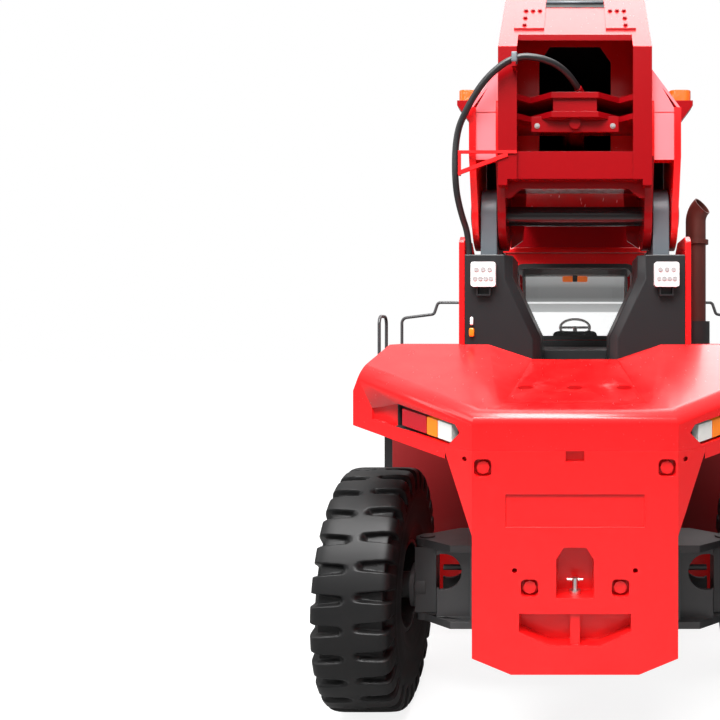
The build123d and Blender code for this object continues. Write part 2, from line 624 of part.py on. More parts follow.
for side, s in SIDES:
    with BuildPart() as door:
        block(
            s * (CAB_HALF - 45),
            s * CAB_HALF,
            DOOR_REAR + 6,
            DOOR_FRONT - 6,
            CAB_LOW + 16,
            CAB_ROOF_Z - 86,
        )
        block(s * 600, s * 700, DOOR_REAR + 80, DOOR_FRONT - 80, 2250, CAB_ROOF_Z - 160, Mode.SUBTRACT)
        block(s * CAB_HALF, s * (CAB_HALF + 30), DOOR_FRONT - 160, DOOR_FRONT - 60, 2120, 2150)
        for z in HINGE_Z:
            block(s * CAB_HALF, s * (CAB_HALF + 14), DOOR_REAR + 6, DOOR_REAR + 60, z + 40 + FIT, z + 80)
            block(
                s * (CAB_HALF + 4),
                s * (CAB_HALF + 14),
                DOOR_REAR - 4,
                DOOR_REAR + 60,
                z + 40 + FIT,
                z + 80,
            )
            upright(s * (CAB_HALF + 14), DOOR_REAR - 4, z + 40 + FIT, z + 80, 14)
            upright(s * (CAB_HALF + 14), DOOR_REAR - 4, z - 6, z + 60, 8)
    save(f"door_{side}", door)
    with BuildPart() as pane:
        block(
            s * (CAB_HALF - 28),
            s * (CAB_HALF - 18),
            DOOR_REAR + 80,
            DOOR_FRONT - 80,
            2250,
            CAB_ROOF_Z - 160,
        )
    save(f"door_glass_{side}", pane)

with BuildPart() as driver_seat:
    block(-200, 200, CAB_REAR + 450, CAB_REAR + 850, CAB_LOW, CAB_LOW + 330)
    block(-260, 260, CAB_REAR + 400, CAB_REAR + 920, CAB_LOW + 330, CAB_LOW + 450)
    side_plate(
        [(CAB_REAR + 300, CAB_LOW + 450), (CAB_REAR + 440, CAB_LOW + 450), (CAB_REAR + 370, CAB_LOW + 800),
         (CAB_REAR + 260, CAB_LOW + 800)],
        -250,
        250,
    )
    block(-260, 260, CAB_REAR + 300, CAB_REAR + 440, CAB_LOW + 400, CAB_LOW + 450)
save("driver_seat", driver_seat)

with BuildPart() as control_console:
    block(-350, 350, CAB_FRONT - 300, CAB_FRONT - 50, CAB_LOW, CAB_LOW + 620)
    with Locations(Location((0, CAB_FRONT - 330, CAB_LOW + 680), (35, 0, 0))):
        Cylinder(25, 360)
    with Locations(Location((0, CAB_FRONT - 430, CAB_LOW + 825), (35, 0, 0))):
        Torus(170, 15)
        Box(330, 30, 14)
save("control_console", control_console)

# Exhaust stack beside the right post: muffler, pipe, rain collar and an elbow that looks back and out
STACK_X, STACK_Y, STACK_R, ELBOW_Z, ELBOW_R, ELBOW_TURN = 945, POST_FRONT + 150, 78, 3480, 150, 52
with BuildPart() as exhaust_stack:
    upright(STACK_X, STACK_Y, 1900, ELBOW_Z, STACK_R)
    upright(STACK_X, STACK_Y, 1900, 2700, STACK_R + 30)
    upright(STACK_X, STACK_Y, 3300, 3335, STACK_R + 20)
    block(POST_OUT + 40, STACK_X - STACK_R, STACK_Y - 30, STACK_Y + 30, 1960, 2060)
    out = (cos(radians(-35)), sin(radians(-35)), 0)
    hinge_line = Axis(
        (STACK_X + ELBOW_R * out[0], STACK_Y + ELBOW_R * out[1], ELBOW_Z),
        (out[1], -out[0], 0),
    )
    with BuildSketch(Plane((STACK_X, STACK_Y, ELBOW_Z))) as mouth:
        Circle(STACK_R)
        Circle(STACK_R - 8, mode=Mode.SUBTRACT)
    revolve(axis=hinge_line, revolution_arc=-ELBOW_TURN)
save("exhaust_stack", exhaust_stack)

# Boom: box section with a bulkhead, a collar at its mouth, side lugs for the lift cylinders, wear pads
BULKHEAD_T = 25
with BuildPart() as boom_base:
    block(-BOOM_HALF, BOOM_HALF, BASE_REAR, BOOM_FRONT, BOOM_BOTTOM, BOOM_TOP)
    block(-BOOM_HALF - 35, BOOM_HALF + 35, BOOM_FRONT - 90, BOOM_FRONT, BOOM_BOTTOM - 35, BOOM_TOP + 35)
    block(
        -BOOM_HALF + BOOM_WALL,
        BOOM_HALF - BOOM_WALL,
        BASE_REAR,
        BOOM_FRONT,
        BOOM_BOTTOM + BOOM_WALL,
        BOOM_TOP - BOOM_WALL,
        Mode.SUBTRACT,
    )
    rear_plate(
        mirrored([(BOOM_HALF, BOOM_BOTTOM), (BOOM_HALF, BOOM_TOP)]),
        BASE_REAR,
        BASE_REAR + BULKHEAD_T,
    )
    arch = [
        (265, BOOM_BOTTOM + 0.15 * BOOM_TALL),
        (265, BOOM_TOP - 0.2 * BOOM_TALL),
        (185, BOOM_TOP - 0.1 * BOOM_TALL),
    ]
    rear_plate(mirrored(arch), BASE_REAR, BASE_REAR + BULKHEAD_T, Mode.SUBTRACT)
    for z0, z1 in ((BOOM_BOTTOM + BOOM_WALL, INNER_BOTTOM - FIT), (INNER_TOP + FIT, BOOM_TOP - BOOM_WALL)):
        block(-300, 300, BOOM_FRONT - 260, BOOM_FRONT, z0, z1)
    for _, s in SIDES:
        across(s * BOOM_HALF, s * (LIFT_X - 105), *LIFT_HEAD, 110)
save("boom_base", boom_base)

# Boom tail: box cheeks with a sloping top, cross plates, and lugs that straddle the tower's
COLUMN_IN, COLUMN_OUT, COLUMN_TOP = 390, 517, BOOM_BOTTOM + 0.722 * BOOM_TALL
CREST_Z, CREST_RUN = BOOM_TOP + 240, 60
slope = (CREST_Z - COLUMN_TOP) / (BASE_REAR - TAIL_REAR)
STRADDLE_IN, STRADDLE_OUT, STRADDLE_R, LUG_T = BOOM_HALF, 670, 250, 46
COVER_LOW, COVER_OUT_Z, COVER_IN_Z = 3840, 4130, 4400
BRACKET_Z, BRACKET_X = 3810, -768


def slope_band(x0, x1, y0, y1, low, high):
    """A band along the tail's sloping top, between two heights measured from the slope."""
    z0, z1 = (COLUMN_TOP + slope * (y - TAIL_REAR) for y in (y0, y1))
    side_plate([(y0, z0 + low), (y1, z1 + low), (y1, z1 + high), (y0, z0 + high)], x0, x1)


with BuildPart() as boom_tail:
    wall = [(TAIL_REAR, 3600), (TAIL_REAR, COLUMN_TOP), (BASE_REAR, CREST_Z), (BASE_REAR, 3600)]
    crest = [(BASE_REAR, BOOM_BOTTOM), (BASE_REAR, CREST_Z), (BASE_REAR + CREST_RUN, TAIL_TOP)]
    crest += [(BASE_REAR + 600, TAIL_TOP), (BASE_REAR + 1300, BOOM_TOP - 50), (BASE_REAR + 1300, 4300)]
    lug = [(PIVOT_Y - STRADDLE_R, PIVOT_Z), (PIVOT_Y + STRADDLE_R, PIVOT_Z), (PIVOT_Y + 900, 4330)]
    inner_lug = [*lug, (TAIL_Y + 120, 4330), (TAIL_Y, 4150), (TAIL_Y, PIVOT_Z + 350)]
    outer_lug = [*lug[:2], (PIVOT_Y + 700, COVER_OUT_Z), (TAIL_Y, COVER_OUT_Z), (TAIL_Y, PIVOT_Z + 350)]
    for _, s in SIDES:
        side_plate(wall, s * (BOOM_HALF - BOOM_WALL), s * COLUMN_OUT)
        side_plate(crest, s * BOOM_HALF, s * COLUMN_OUT)
        block(s * COLUMN_IN, s * COLUMN_OUT, TAIL_REAR, TAIL_REAR + 40, 3640, COLUMN_TOP)
        slope_band(s * COLUMN_IN, s * COLUMN_OUT, TAIL_REAR, BASE_REAR, -40, 0)
        slope_band(s * 214, s * 423, TAIL_REAR + 174, BASE_REAR - 25, 0, 20)
        for x0, x1, outline in ((BOOM_HALF, 535, inner_lug), (STRADDLE_OUT, STRADDLE_OUT + LUG_T, outer_lug)):
            side_plate(outline, s * x0, s * x1)
            across(s * x0, s * x1, PIVOT_Y, PIVOT_Z, STRADDLE_R)
        cover = [
            (COLUMN_OUT, COVER_LOW),
            (STRADDLE_OUT, COVER_LOW),
            (STRADDLE_OUT, COVER_OUT_Z),
            (COLUMN_OUT, COVER_IN_Z),
        ]
        rear_plate(flipped(cover, s), TAIL_Y + 20, TAIL_Y + 50)
        roof = [(COLUMN_OUT, COVER_IN_Z - 30), (STRADDLE_OUT + LUG_T, COVER_OUT_Z - 30)]
        roof += [(STRADDLE_OUT + LUG_T, COVER_OUT_Z), (COLUMN_OUT, COVER_IN_Z)]
        rear_plate(flipped(roof, s), TAIL_Y + 20, PIVOT_Y + 600)
        block(s * COLUMN_OUT, s * STRADDLE_OUT, TAIL_Y + 20, TAIL_Y + 120, COVER_LOW - 60, COVER_LOW)
        block(
            s * COLUMN_OUT,
            s * STRADDLE_OUT,
            TAIL_Y + 20,
            TAIL_Y + 26,
            COVER_OUT_Z - 34,
            COVER_OUT_Z - 26,
            Mode.SUBTRACT,
        )
        rear_plate(
            flipped([(BOOM_HALF, 3360), (BOOM_HALF, 3440), (400, 3440), (400, 3390)], s),
            PIVOT_Y + 215,
            PIVOT_Y + 245,
        )
        across(s * BOOM_HALF, s * (STRADDLE_OUT + LUG_T), PIVOT_Y, PIVOT_Z, PIVOT_R, Mode.SUBTRACT)
    slope_band(-COLUMN_IN, COLUMN_IN, TAIL_REAR + 130, BASE_REAR + CREST_RUN, -40, 0)
    block(-BOOM_HALF, BOOM_HALF, BASE_REAR + CREST_RUN, BASE_REAR + 600, TAIL_TOP - 45, TAIL_TOP)
    block(-COLUMN_IN, COLUMN_IN, TAIL_REAR + 20, TAIL_REAR + 45, 3670, 3830)
    block(-COLUMN_IN, COLUMN_IN, TAIL_REAR + 20, TAIL_REAR + 120, 3810, 3830)
    block(-BOOM_HALF, BOOM_HALF, TAIL_REAR + 20, BASE_REAR, 3645, 3670)
    rear_plate(
        mirrored([(370, 3592), (440, 3530), (BOOM_HALF, 3530), (BOOM_HALF, 3660)]),
        TAIL_REAR + 100,
        TAIL_REAR + 125,
    )
    block(BRACKET_X, -COLUMN_IN, TAIL_REAR - 10, TAIL_REAR + 10, BRACKET_Z, BRACKET_Z + 20)
    block(BRACKET_X - 15, BRACKET_X, TAIL_REAR - 10, TAIL_REAR + 30, BRACKET_Z - 145, BRACKET_Z + 20)
    brace = [
        (BRACKET_X, BRACKET_Z - 140),
        (-COLUMN_IN - 60, BRACKET_Z - 20),
        (-COLUMN_IN - 60, BRACKET_Z + 8),
    ]
    rear_plate([*brace, (BRACKET_X, BRACKET_Z - 112)], TAIL_REAR - 10, TAIL_REAR + 10)
    block(-415, -COLUMN_IN, TAIL_Y - 132, TAIL_REAR, 4362, 4392)
save("boom_tail", boom_tail)

with BuildPart() as pivot_shaft:
    across(-STRADDLE_OUT - LUG_T, STRADDLE_OUT + LUG_T, PIVOT_Y, PIVOT_Z, PIVOT_R)
    for _, s in SIDES:
        across(s * (STRADDLE_OUT + LUG_T), s * (STRADDLE_OUT + LUG_T + 24), PIVOT_Y, PIVOT_Z, PIVOT_R + 35)
save("pivot_shaft", pivot_shaft)

# Hose route from the crosshead over the tail's left column to a bracket, then down to the tower's top
SLIDE_Z, HEAD_RISE, HEAD_T = BOOM_BOTTOM + 0.4 * BOOM_TALL, 0.057 * BOOM_TALL, 40
HEAD_REAR = TAIL_Y + 40
HOSE_R, FERRULE_R, HOSE_GAP = 22, 27, 0.3
HOSE_X, HOSE_Y = BRACKET_X - 15 - HOSE_R - HOSE_GAP, TAIL_Y - 20
hose_path = [(20, HEAD_REAR + 60, 4290), (-40, TAIL_Y + 10, 4365), (-190, TAIL_Y - 95, 4425)]
hose_path += [(-400, TAIL_Y - 110, 4440), (-590, TAIL_Y - 95, 4300), (-720, TAIL_Y - 60, 4110)]
hose_path += [(HOSE_X, HOSE_Y, 3930), (HOSE_X, HOSE_Y, 3740)]
loop_path = [(HOSE_X, HOSE_Y, 3740), (HOSE_X, HOSE_Y, 3600), (-782, POST_REAR - 75, 3435)]
loop_path += [(-738, POST_REAR + 25, 3280), (-738, POST_REAR + 25, POST_TOP)]


def wide_bends(points):
    """The largest radius at each corner of a hose's route that its two straight runs leave room for."""
    radii = []
    for before, corner, after in zip(points, points[1:], points[2:]):
        run, next_run = Vector(corner) - Vector(before), Vector(after) - Vector(corner)
        half_turn = radians(run.get_angle(next_run)) / 2
        radii.append(0.45 * min(run.length, next_run.length) / tan(half_turn))
    print("hose bends", [round(r) for r in radii])
    return radii


# Telescope mount: a crosshead of two gull-winged plates on a block, and the cylinder's barrel
with BuildPart() as telescope_mount:
    wing_edge = [
        (BOOM_HALF - BOOM_WALL, BASE_REAR),
        (BOOM_HALF - BOOM_WALL, TAIL_Y + 60),
        (420, TAIL_Y + 60),
    ]
    for z in (SLIDE_Z - HEAD_RISE, SLIDE_Z + HEAD_RISE):
        flat_plate(
            mirrored([*wing_edge, (310, TAIL_Y + 170), (160, HEAD_REAR)]),
            z - HEAD_T / 2,
            z + HEAD_T / 2,
        )
    block(-150, 150, HEAD_REAR + 20, TAIL_Y + 400, SLIDE_Z - HEAD_RISE, SLIDE_Z + HEAD_RISE)
    face_z = SLIDE_Z - HEAD_RISE - 1.6 * HEAD_RISE
    block(-300, 300, HEAD_REAR + 60, HEAD_REAR + 90, face_z, SLIDE_Z - HEAD_RISE)
    along(HEAD_REAR + 35, HEAD_REAR + 60, 0, (face_z + SLIDE_Z - HEAD_RISE) / 2, 0.6 * HEAD_RISE)
    with BuildSketch(Plane(hose_path[0], z_dir=Vector(hose_path[1]) - Vector(hose_path[0]))) as ferrule:
        Circle(FERRULE_R)
    extrude(ferrule.sketch, amount=-70)
    along(TAIL_Y + 400, BOOM_FRONT - 1600, 0, SLIDE_Z, 105)
    along(TAIL_Y + 480, BOOM_FRONT - 1600, 0, SLIDE_Z, 80 + FIT, Mode.SUBTRACT)
save("telescope_mount", telescope_mount)

# Flat beacons on tapered arms that stand out from the outer lugs
BEACON_X, BEACON_Y, BEACON_Z = 735, TAIL_Y + 220, 4225
with BuildPart() as beacon_lamps:
    lug_face = STRADDLE_OUT + LUG_T
    seat_x = COLUMN_OUT + (COVER_IN_Z - BEACON_Z) * (lug_face - COLUMN_OUT) / (COVER_IN_Z - COVER_OUT_Z)
    arm = [
        (lug_face, COVER_OUT_Z - 50),
        (lug_face + 22, COVER_OUT_Z - 50),
        (820, BEACON_Z - 35),
        (820, BEACON_Z),
    ]
    arm += [(seat_x, BEACON_Z), (lug_face, COVER_OUT_Z)]
    for _, s in SIDES:
        rear_plate(flipped(arm, s), BEACON_Y - 60, BEACON_Y + 60)
        with BuildSketch(Plane.XY.offset(BEACON_Z)):
            with Locations((s * BEACON_X, BEACON_Y)):
                RectangleRounded(150, 110, 40)
        extrude(amount=75)
save("beacon_lamps", beacon_lamps)

# Hydraulic hose in two lengths, which meet at the bracket
with BuildPart() as hose_upper:
    pipe(hose_path, wide_bends(hose_path), HOSE_R)
save("hose_upper", hose_upper)

with BuildPart() as hose_loop:
    pipe(loop_path, wide_bends(loop_path), HOSE_R)
save("hose_loop", hose_loop)

# Inner boom with its down-turned nose
with BuildPart() as boom_inner:
    block(-INNER_HALF, INNER_HALF, INNER_REAR, SPREADER_Y - 350, INNER_BOTTOM, INNER_TOP)
    block(
        -INNER_HALF + 20,
        INNER_HALF - 20,
        INNER_REAR,
        SPREADER_Y - 380,
        INNER_BOTTOM + 20,
        INNER_TOP - 20,
        Mode.SUBTRACT,
    )
    block(-INNER_HALF, INNER_HALF, BOOM_FRONT + 80, BOOM_FRONT + 110, INNER_BOTTOM, INNER_TOP)
    nose = [(SPREADER_Y - 700, INNER_BOTTOM), (SPREADER_Y - 170, NOSE_Z), (SPREADER_Y + 170, NOSE_Z)]
    nose += [
        (SPREADER_Y + 120, 4000),
        (SPREADER_Y - 200, 4600),
        (SPREADER_Y - 350, 4600),
        (SPREADER_Y - 350, INNER_BOTTOM),
    ]
    for _, s in SIDES:
        side_plate(nose, s * 240, s * 330)
        across(s * 240, s * 330, SPREADER_Y, NOSE_Z, 170)
        across(s * 235, s * 335, SPREADER_Y, NOSE_Z, 80 + FIT, Mode.SUBTRACT)
save("boom_inner", boom_inner)

with BuildPart() as telescope_rod:
    along(BOOM_FRONT - 6100, BOOM_FRONT + 80, 0, SLIDE_Z, 80)
save("telescope_rod", telescope_rod)

# Lift cylinders, each turned about its foot pin towards the boom's lug
lift_run = [h - f for f, h in zip(LIFT_FOOT, LIFT_HEAD)]
lift_len = hypot(*lift_run)
lift_dir = (0, lift_run[0] / lift_len, lift_run[1] / lift_len)


def lift_bar(x, start, end, r, mode=Mode.ADD):
    """A round bar on the lift cylinder's line, measured from the foot pin."""
    foot = Vector(x, *LIFT_FOOT) + Vector(*lift_dir) * start
    with BuildSketch(Plane(foot, x_dir=(1, 0, 0), z_dir=lift_dir)) as ring:
        Circle(r)
    extrude(ring.sketch, amount=end - start, mode=mode)


for side, s in SIDES:
    with BuildPart() as lift_barrel:
        across(s * (LIFT_X - 110), s * (LIFT_X + 100), *LIFT_FOOT, 120)
        lift_bar(s * LIFT_X, 60, lift_len - 200, LIFT_R)
        lift_bar(s * LIFT_X, lift_len - 290, lift_len - 200, LIFT_R + 18)
        lift_bar(s * LIFT_X, 300, lift_len - 200, 80 + FIT, Mode.SUBTRACT)
        across(s * (LIFT_X - 140), s * (LIFT_X + 140), *LIFT_FOOT, 60 + FIT, Mode.SUBTRACT)
    save(f"lift_barrel_{side}", lift_barrel)
    with BuildPart() as lift_rod:
        across(s * (LIFT_X - 100), s * (LIFT_X + 100), *LIFT_HEAD, 120)
        lift_bar(s * LIFT_X, 320, lift_len, 80)
    save(f"lift_rod_{side}", lift_rod)

# Hanger, turntable and spreader
with BuildPart() as hanger:
    for _, s in SIDES:
        side_plate(
            [(SPREADER_Y - 450, SPREADER_TOP + 205), (SPREADER_Y + 450, SPREADER_TOP + 205),
             (SPREADER_Y + 160, NOSE_Z), (SPREADER_Y - 160, NOSE_Z)],
            s * 340,
            s * 400,
        )
        across(s * 340, s * 400, SPREADER_Y, NOSE_Z, 160)
    upright(0, SPREADER_Y, SPREADER_TOP + 205, SPREADER_TOP + 280, 640)
    upright(0, SPREADER_Y, SPREADER_TOP + 205, SPREADER_TOP + 280, 150 + FIT, Mode.SUBTRACT)
    across(-420, 420, SPREADER_Y, NOSE_Z, 80)
save("hanger", hanger)

with BuildPart() as turntable:
    upright(0, SPREADER_Y, SPREADER_TOP + 60, SPREADER_TOP + 200, 600)
    upright(0, SPREADER_Y, SPREADER_TOP + 200, SPREADER_TOP + 275, 150)
    for y in (-450, 450):
        block(-900, 900, SPREADER_Y + y - 150, SPREADER_Y + y + 150, SPREADER_TOP + FIT, SPREADER_TOP + 65)
save("turntable", turntable)

GIRDER_Y, GIRDER_HALF, GIRDER_LEN = 450, 150, LOCK_LENGTH / 2 - 226
BEAM_LEN = 2 * GIRDER_LEN - 200
with BuildPart() as spreader_frame:
    for y in (-GIRDER_Y, GIRDER_Y):
        y0, y1 = SPREADER_Y + y - GIRDER_HALF, SPREADER_Y + y + GIRDER_HALF
        block(-GIRDER_LEN, GIRDER_LEN, y0, y1, SPREADER_TOP - 400, SPREADER_TOP)
        block(
            -GIRDER_LEN,
            GIRDER_LEN,
            y0 + 25,
            y1 - 25,
            SPREADER_TOP - 375,
            SPREADER_TOP - 25,
            Mode.SUBTRACT,
        )
    for x in (700, GIRDER_LEN - 200):
        pair(
            x - 100,
            x + 100,
            SPREADER_Y - GIRDER_Y + GIRDER_HALF,
            SPREADER_Y + GIRDER_Y - GIRDER_HALF,
            SPREADER_TOP - 350,
            SPREADER_TOP - 50,
        )
    for _, s in SIDES:
        x, y = s * (GIRDER_LEN - 150), SPREADER_Y + s * GIRDER_Y
        block(x - 150, x + 150, y - 60, y + 60, SPREADER_TOP - 375, SPREADER_TOP - 365 - FIT)
save("spreader_frame", spreader_frame)

for side, s in SIDES:
    end_x, beam_y = s * LOCK_LENGTH / 2, SPREADER_Y + s * GIRDER_Y
    with BuildPart() as end_frame:
        block(
            end_x - s * BEAM_LEN,
            end_x,
            beam_y - 115,
            beam_y + 115,
            SPREADER_TOP - 365,
            SPREADER_TOP - 35,
        )
        block(
            end_x - 110,
            end_x + 130,
            SPREADER_Y - END_HALF_DEPTH,
            SPREADER_Y + END_HALF_DEPTH,
            SPREADER_TOP - 490,
            SPREADER_TOP - 150,
        )
        for y in (-LOCK_WIDTH / 2, LOCK_WIDTH / 2):
            block(
                end_x - 75,
                end_x + 75,
                SPREADER_Y + y - 75,
                SPREADER_Y + y + 75,
                SPREADER_TOP - 590,
                SPREADER_TOP - 490,
            )
            upright(end_x, SPREADER_Y + y, SPREADER_TOP - 660, SPREADER_TOP - 590, 28)
            block(
                end_x - 50,
                end_x + 50,
                SPREADER_Y + y - 28,
                SPREADER_Y + y + 28,
                SPREADER_TOP - 720,
                SPREADER_TOP - 660,
            )
    save(f"end_frame_{side}", end_frame)
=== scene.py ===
import json

import bmesh
import bpy
import numpy as np
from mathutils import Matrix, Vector


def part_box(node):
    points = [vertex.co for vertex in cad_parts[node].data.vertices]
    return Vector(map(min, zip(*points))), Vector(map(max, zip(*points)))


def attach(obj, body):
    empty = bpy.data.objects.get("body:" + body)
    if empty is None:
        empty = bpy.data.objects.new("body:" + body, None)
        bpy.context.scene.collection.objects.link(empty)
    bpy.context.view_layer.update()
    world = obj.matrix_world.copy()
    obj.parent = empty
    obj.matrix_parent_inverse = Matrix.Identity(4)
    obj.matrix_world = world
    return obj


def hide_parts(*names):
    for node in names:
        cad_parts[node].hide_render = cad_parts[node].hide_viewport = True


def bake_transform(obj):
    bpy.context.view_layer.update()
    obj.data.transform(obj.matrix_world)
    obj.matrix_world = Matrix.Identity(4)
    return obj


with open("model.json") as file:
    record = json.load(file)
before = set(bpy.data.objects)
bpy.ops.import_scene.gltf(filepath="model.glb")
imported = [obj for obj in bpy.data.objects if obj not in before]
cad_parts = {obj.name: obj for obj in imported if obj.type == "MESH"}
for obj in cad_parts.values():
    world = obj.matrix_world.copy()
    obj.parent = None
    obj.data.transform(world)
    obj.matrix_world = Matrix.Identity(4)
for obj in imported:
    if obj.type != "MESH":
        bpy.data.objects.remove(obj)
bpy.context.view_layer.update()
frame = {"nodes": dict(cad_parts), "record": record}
scene = bpy.context.scene

# The ground is a pale slab that runs into an even studio sky. A broad lamp hangs over the camera, a flat one
# above the boom's tail and a wide one over the front, and a weak one stands on the left. The camera stands
# 10.6 m behind the machine's middle and 2.6 m up.


def tune(made, **settings):
    """The same node with its settings or its inputs' values changed; _ stands for a space in a label."""
    for label, value in settings.items():
        if hasattr(made, label):
            setattr(made, label, value)
        else:
            made.inputs[label.replace("_", " ")].default_value = value
    return made


def node(tree, kind, links=None, **settings):
    """A shader node with its settings and input values, and links from other nodes' outputs."""
    made = tune(tree.nodes.new("ShaderNode" + kind), **settings)
    for label, output in (links or {}).items():
        tree.links.new(output, made.inputs[label])
    return made


def finish_of(name, **settings):
    """A new material, its node tree and its main shader, whose inputs get the given values."""
    made = bpy.data.materials.new(name)
    made.use_nodes = True
    return made, made.node_tree, tune(made.node_tree.nodes["Principled BSDF"], **settings)


slab = bpy.data.meshes.new("ground_slab")
slab_half = 60
slab.from_pydata([(-slab_half, -slab_half, 0), (slab_half, -slab_half, 0), (slab_half, slab_half, 0),
                  (-slab_half, slab_half, 0)], [], [(0, 1, 2, 3)])
ground = bpy.data.objects.new("ground_slab", slab)
scene.collection.objects.link(ground)
slab_finish, slab_tree, slab_shader = finish_of("pale_slab", Roughness=0.9, Specular_IOR_Level=0.0,
                                                Emission_Color=(1, 1, 1, 1))
slab_mottle = node(slab_tree, "TexNoise", Scale=0.6)
slab_tone = node(slab_tree, "MapRange", {"Value": slab_mottle.outputs["Fac"]}, To_Min=0.24, To_Max=0.27)
slab_tree.links.new(slab_tone.outputs[0], slab_shader.inputs["Base Color"])
slab_glow = 0.86
slab_ray = node(slab_tree, "LightPath").outputs["Is Camera Ray"]
slab_seen = node(slab_tree, "MapRange", {"Value": slab_ray}, To_Max=slab_glow)
slab_tree.links.new(slab_seen.outputs[0], slab_shader.inputs["Emission Strength"])
slab.materials.append(slab_finish)

sky = bpy.data.worlds.new("studio_sky")
sky.use_nodes = True
sky_tree = sky.node_tree
sky_height = node(sky_tree, "SeparateXYZ", {0: node(sky_tree, "TexCoord").outputs["Generated"]})
sky_low, sky_top, sky_top_at = 0.16, 1.1, 0.9
sky_level = node(sky_tree, "MapRange", {"Value": sky_height.outputs["Z"]}, From_Min=0.0, From_Max=sky_top_at,
                 To_Min=sky_low, To_Max=sky_top)
sky_ray = node(sky_tree, "LightPath").outputs["Is Camera Ray"]
sky_seen = node(sky_tree, "Mix", {0: sky_ray, 2: sky_level.outputs[0]})
sky_seen.inputs[3].default_value = 1.0
sky_tree.nodes["Background"].inputs["Color"].default_value = (1, 1, 1, 1)
sky_tree.links.new(sky_seen.outputs[0], sky_tree.nodes["Background"].inputs["Strength"])
scene.world = sky
for lamp_name, place, aim, size, power in (
    ("over_camera", (-1.6, -11.0, 11.5), (0, -5.8, 1.6), 7.0, 3200),
    ("over_tail", (0.0, -2.6, 11.2), (0, -5.2, 4.8), 6.0, 380),
    ("left_fill", (-12.0, -8.0, 6.0), (0, -4.0, 2.0), 6.0, 350),
    ("front_top", (4.0, 8.0, 14.0), (0, 0, 2.0), 9.0, 900),
):
    lamp = bpy.data.lights.new(lamp_name, "AREA")
    lamp.size = size
    lamp.energy = power
    lamp_object = bpy.data.objects.new(lamp_name, lamp)
    scene.collection.objects.link(lamp_object)
    lamp_object.location = place
    lamp_object.rotation_euler = (Vector(aim) - Vector(place)).to_track_quat("-Z", "Y").to_euler()

lens = bpy.data.cameras.new("rear_view")
lens.lens = 38.7
lens.sensor_width = 36
lens.shift_x = -0.2986
lens.shift_y = -0.0361
camera = bpy.data.objects.new("rear_view", lens)
camera.location = (0, -10.61, 2.6)
camera.rotation_euler = (np.pi / 2, 0, 0)
scene.collection.objects.link(camera)
scene.camera = camera
scene.view_settings.view_transform = "Standard"

# The chassis is two plate girders welded to cross boxes and sprayed with two-pack enamel. The enamel has a
# faint orange peel, slow waves in the sheet, clouds of tone, fine rub marks along the machine, and dust that
# settles on flat tops and near the ground.


def group(name, inputs, outputs):
    """A shader node group with named number inputs and outputs, and its two end nodes."""
    tree = bpy.data.node_groups.new(name, "ShaderNodeTree")
    for label, value in inputs.items():
        tree.interface.new_socket(label, in_out="INPUT", socket_type="NodeSocketFloat").default_value = value
    for label in outputs:
        tree.interface.new_socket(label, in_out="OUTPUT", socket_type="NodeSocketFloat")
    return tree, tree.nodes.new("NodeGroupInput"), tree.nodes.new("NodeGroupOutput")


def paint_film():
    """Tone is slow noise. Relief is noise at 5 mm plus 24 times noise at 0.7 m. Rub is noise drawn out along
    the machine and cut to its peaks. Dust is noise times how far a face looks up, or how near the ground."""
    wave_share = 24.0
    tree, start, end = group("paint_film", {"Dust band": 1.2}, ("Tone", "Relief", "Rub", "Dust"))
    place = node(tree, "TexCoord").outputs["Object"]
    tone = node(tree, "TexNoise", {"Vector": place}, Scale=1.3, Detail=4.0)
    peel = node(tree, "TexNoise", {"Vector": place}, Scale=210.0, Detail=1.0)
    wave = node(tree, "TexNoise", {"Vector": place}, Scale=1.5, Detail=0.0)
    relief = node(tree, "Math", {0: wave.outputs["Fac"], 2: peel.outputs["Fac"]}, operation="MULTIPLY_ADD")
    relief.inputs[1].default_value = wave_share
    drawn = node(tree, "Mapping", {"Vector": place})
    drawn.inputs["Scale"].default_value = (55, 3, 55)
    streak = node(tree, "TexNoise", {"Vector": drawn.outputs[0]}, Scale=1.0, Detail=6.0)
    rub = node(tree, "MapRange", {"Value": streak.outputs["Fac"]}, From_Min=0.68, From_Max=0.82)
    facing = node(tree, "SeparateXYZ", {0: node(tree, "NewGeometry").outputs["Normal"]})
    up = node(tree, "MapRange", {"Value": facing.outputs["Z"]}, From_Min=0.35, From_Max=1.0)
    height = node(tree, "SeparateXYZ", {0: place})
    low = node(tree, "MapRange", {"Value": height.outputs["Z"], "From Min": start.outputs["Dust band"]},
               From_Max=0.1)
    grit = node(tree, "TexNoise", {"Vector": place}, Scale=6.0, Detail=8.0, Roughness=0.65)
    patch = node(tree, "MapRange", {"Value": grit.outputs["Fac"]}, From_Min=0.42, From_Max=0.75)
    lie = node(tree, "Math", {0: up.outputs[0], 1: low.outputs[0]}, operation="MAXIMUM")
    dust = node(tree, "Math", {0: lie.outputs[0], 1: patch.outputs[0]}, operation="MULTIPLY")
    for label, output in (("Tone", tone.outputs["Fac"]), ("Relief", relief.outputs[0]),
                          ("Rub", rub.outputs[0]), ("Dust", dust.outputs[0])):
        tree.links.new(output, end.inputs[label])
    return tree


film = paint_film()
dust_colour, rub_rise = (0.30, 0.25, 0.22, 1), 0.05


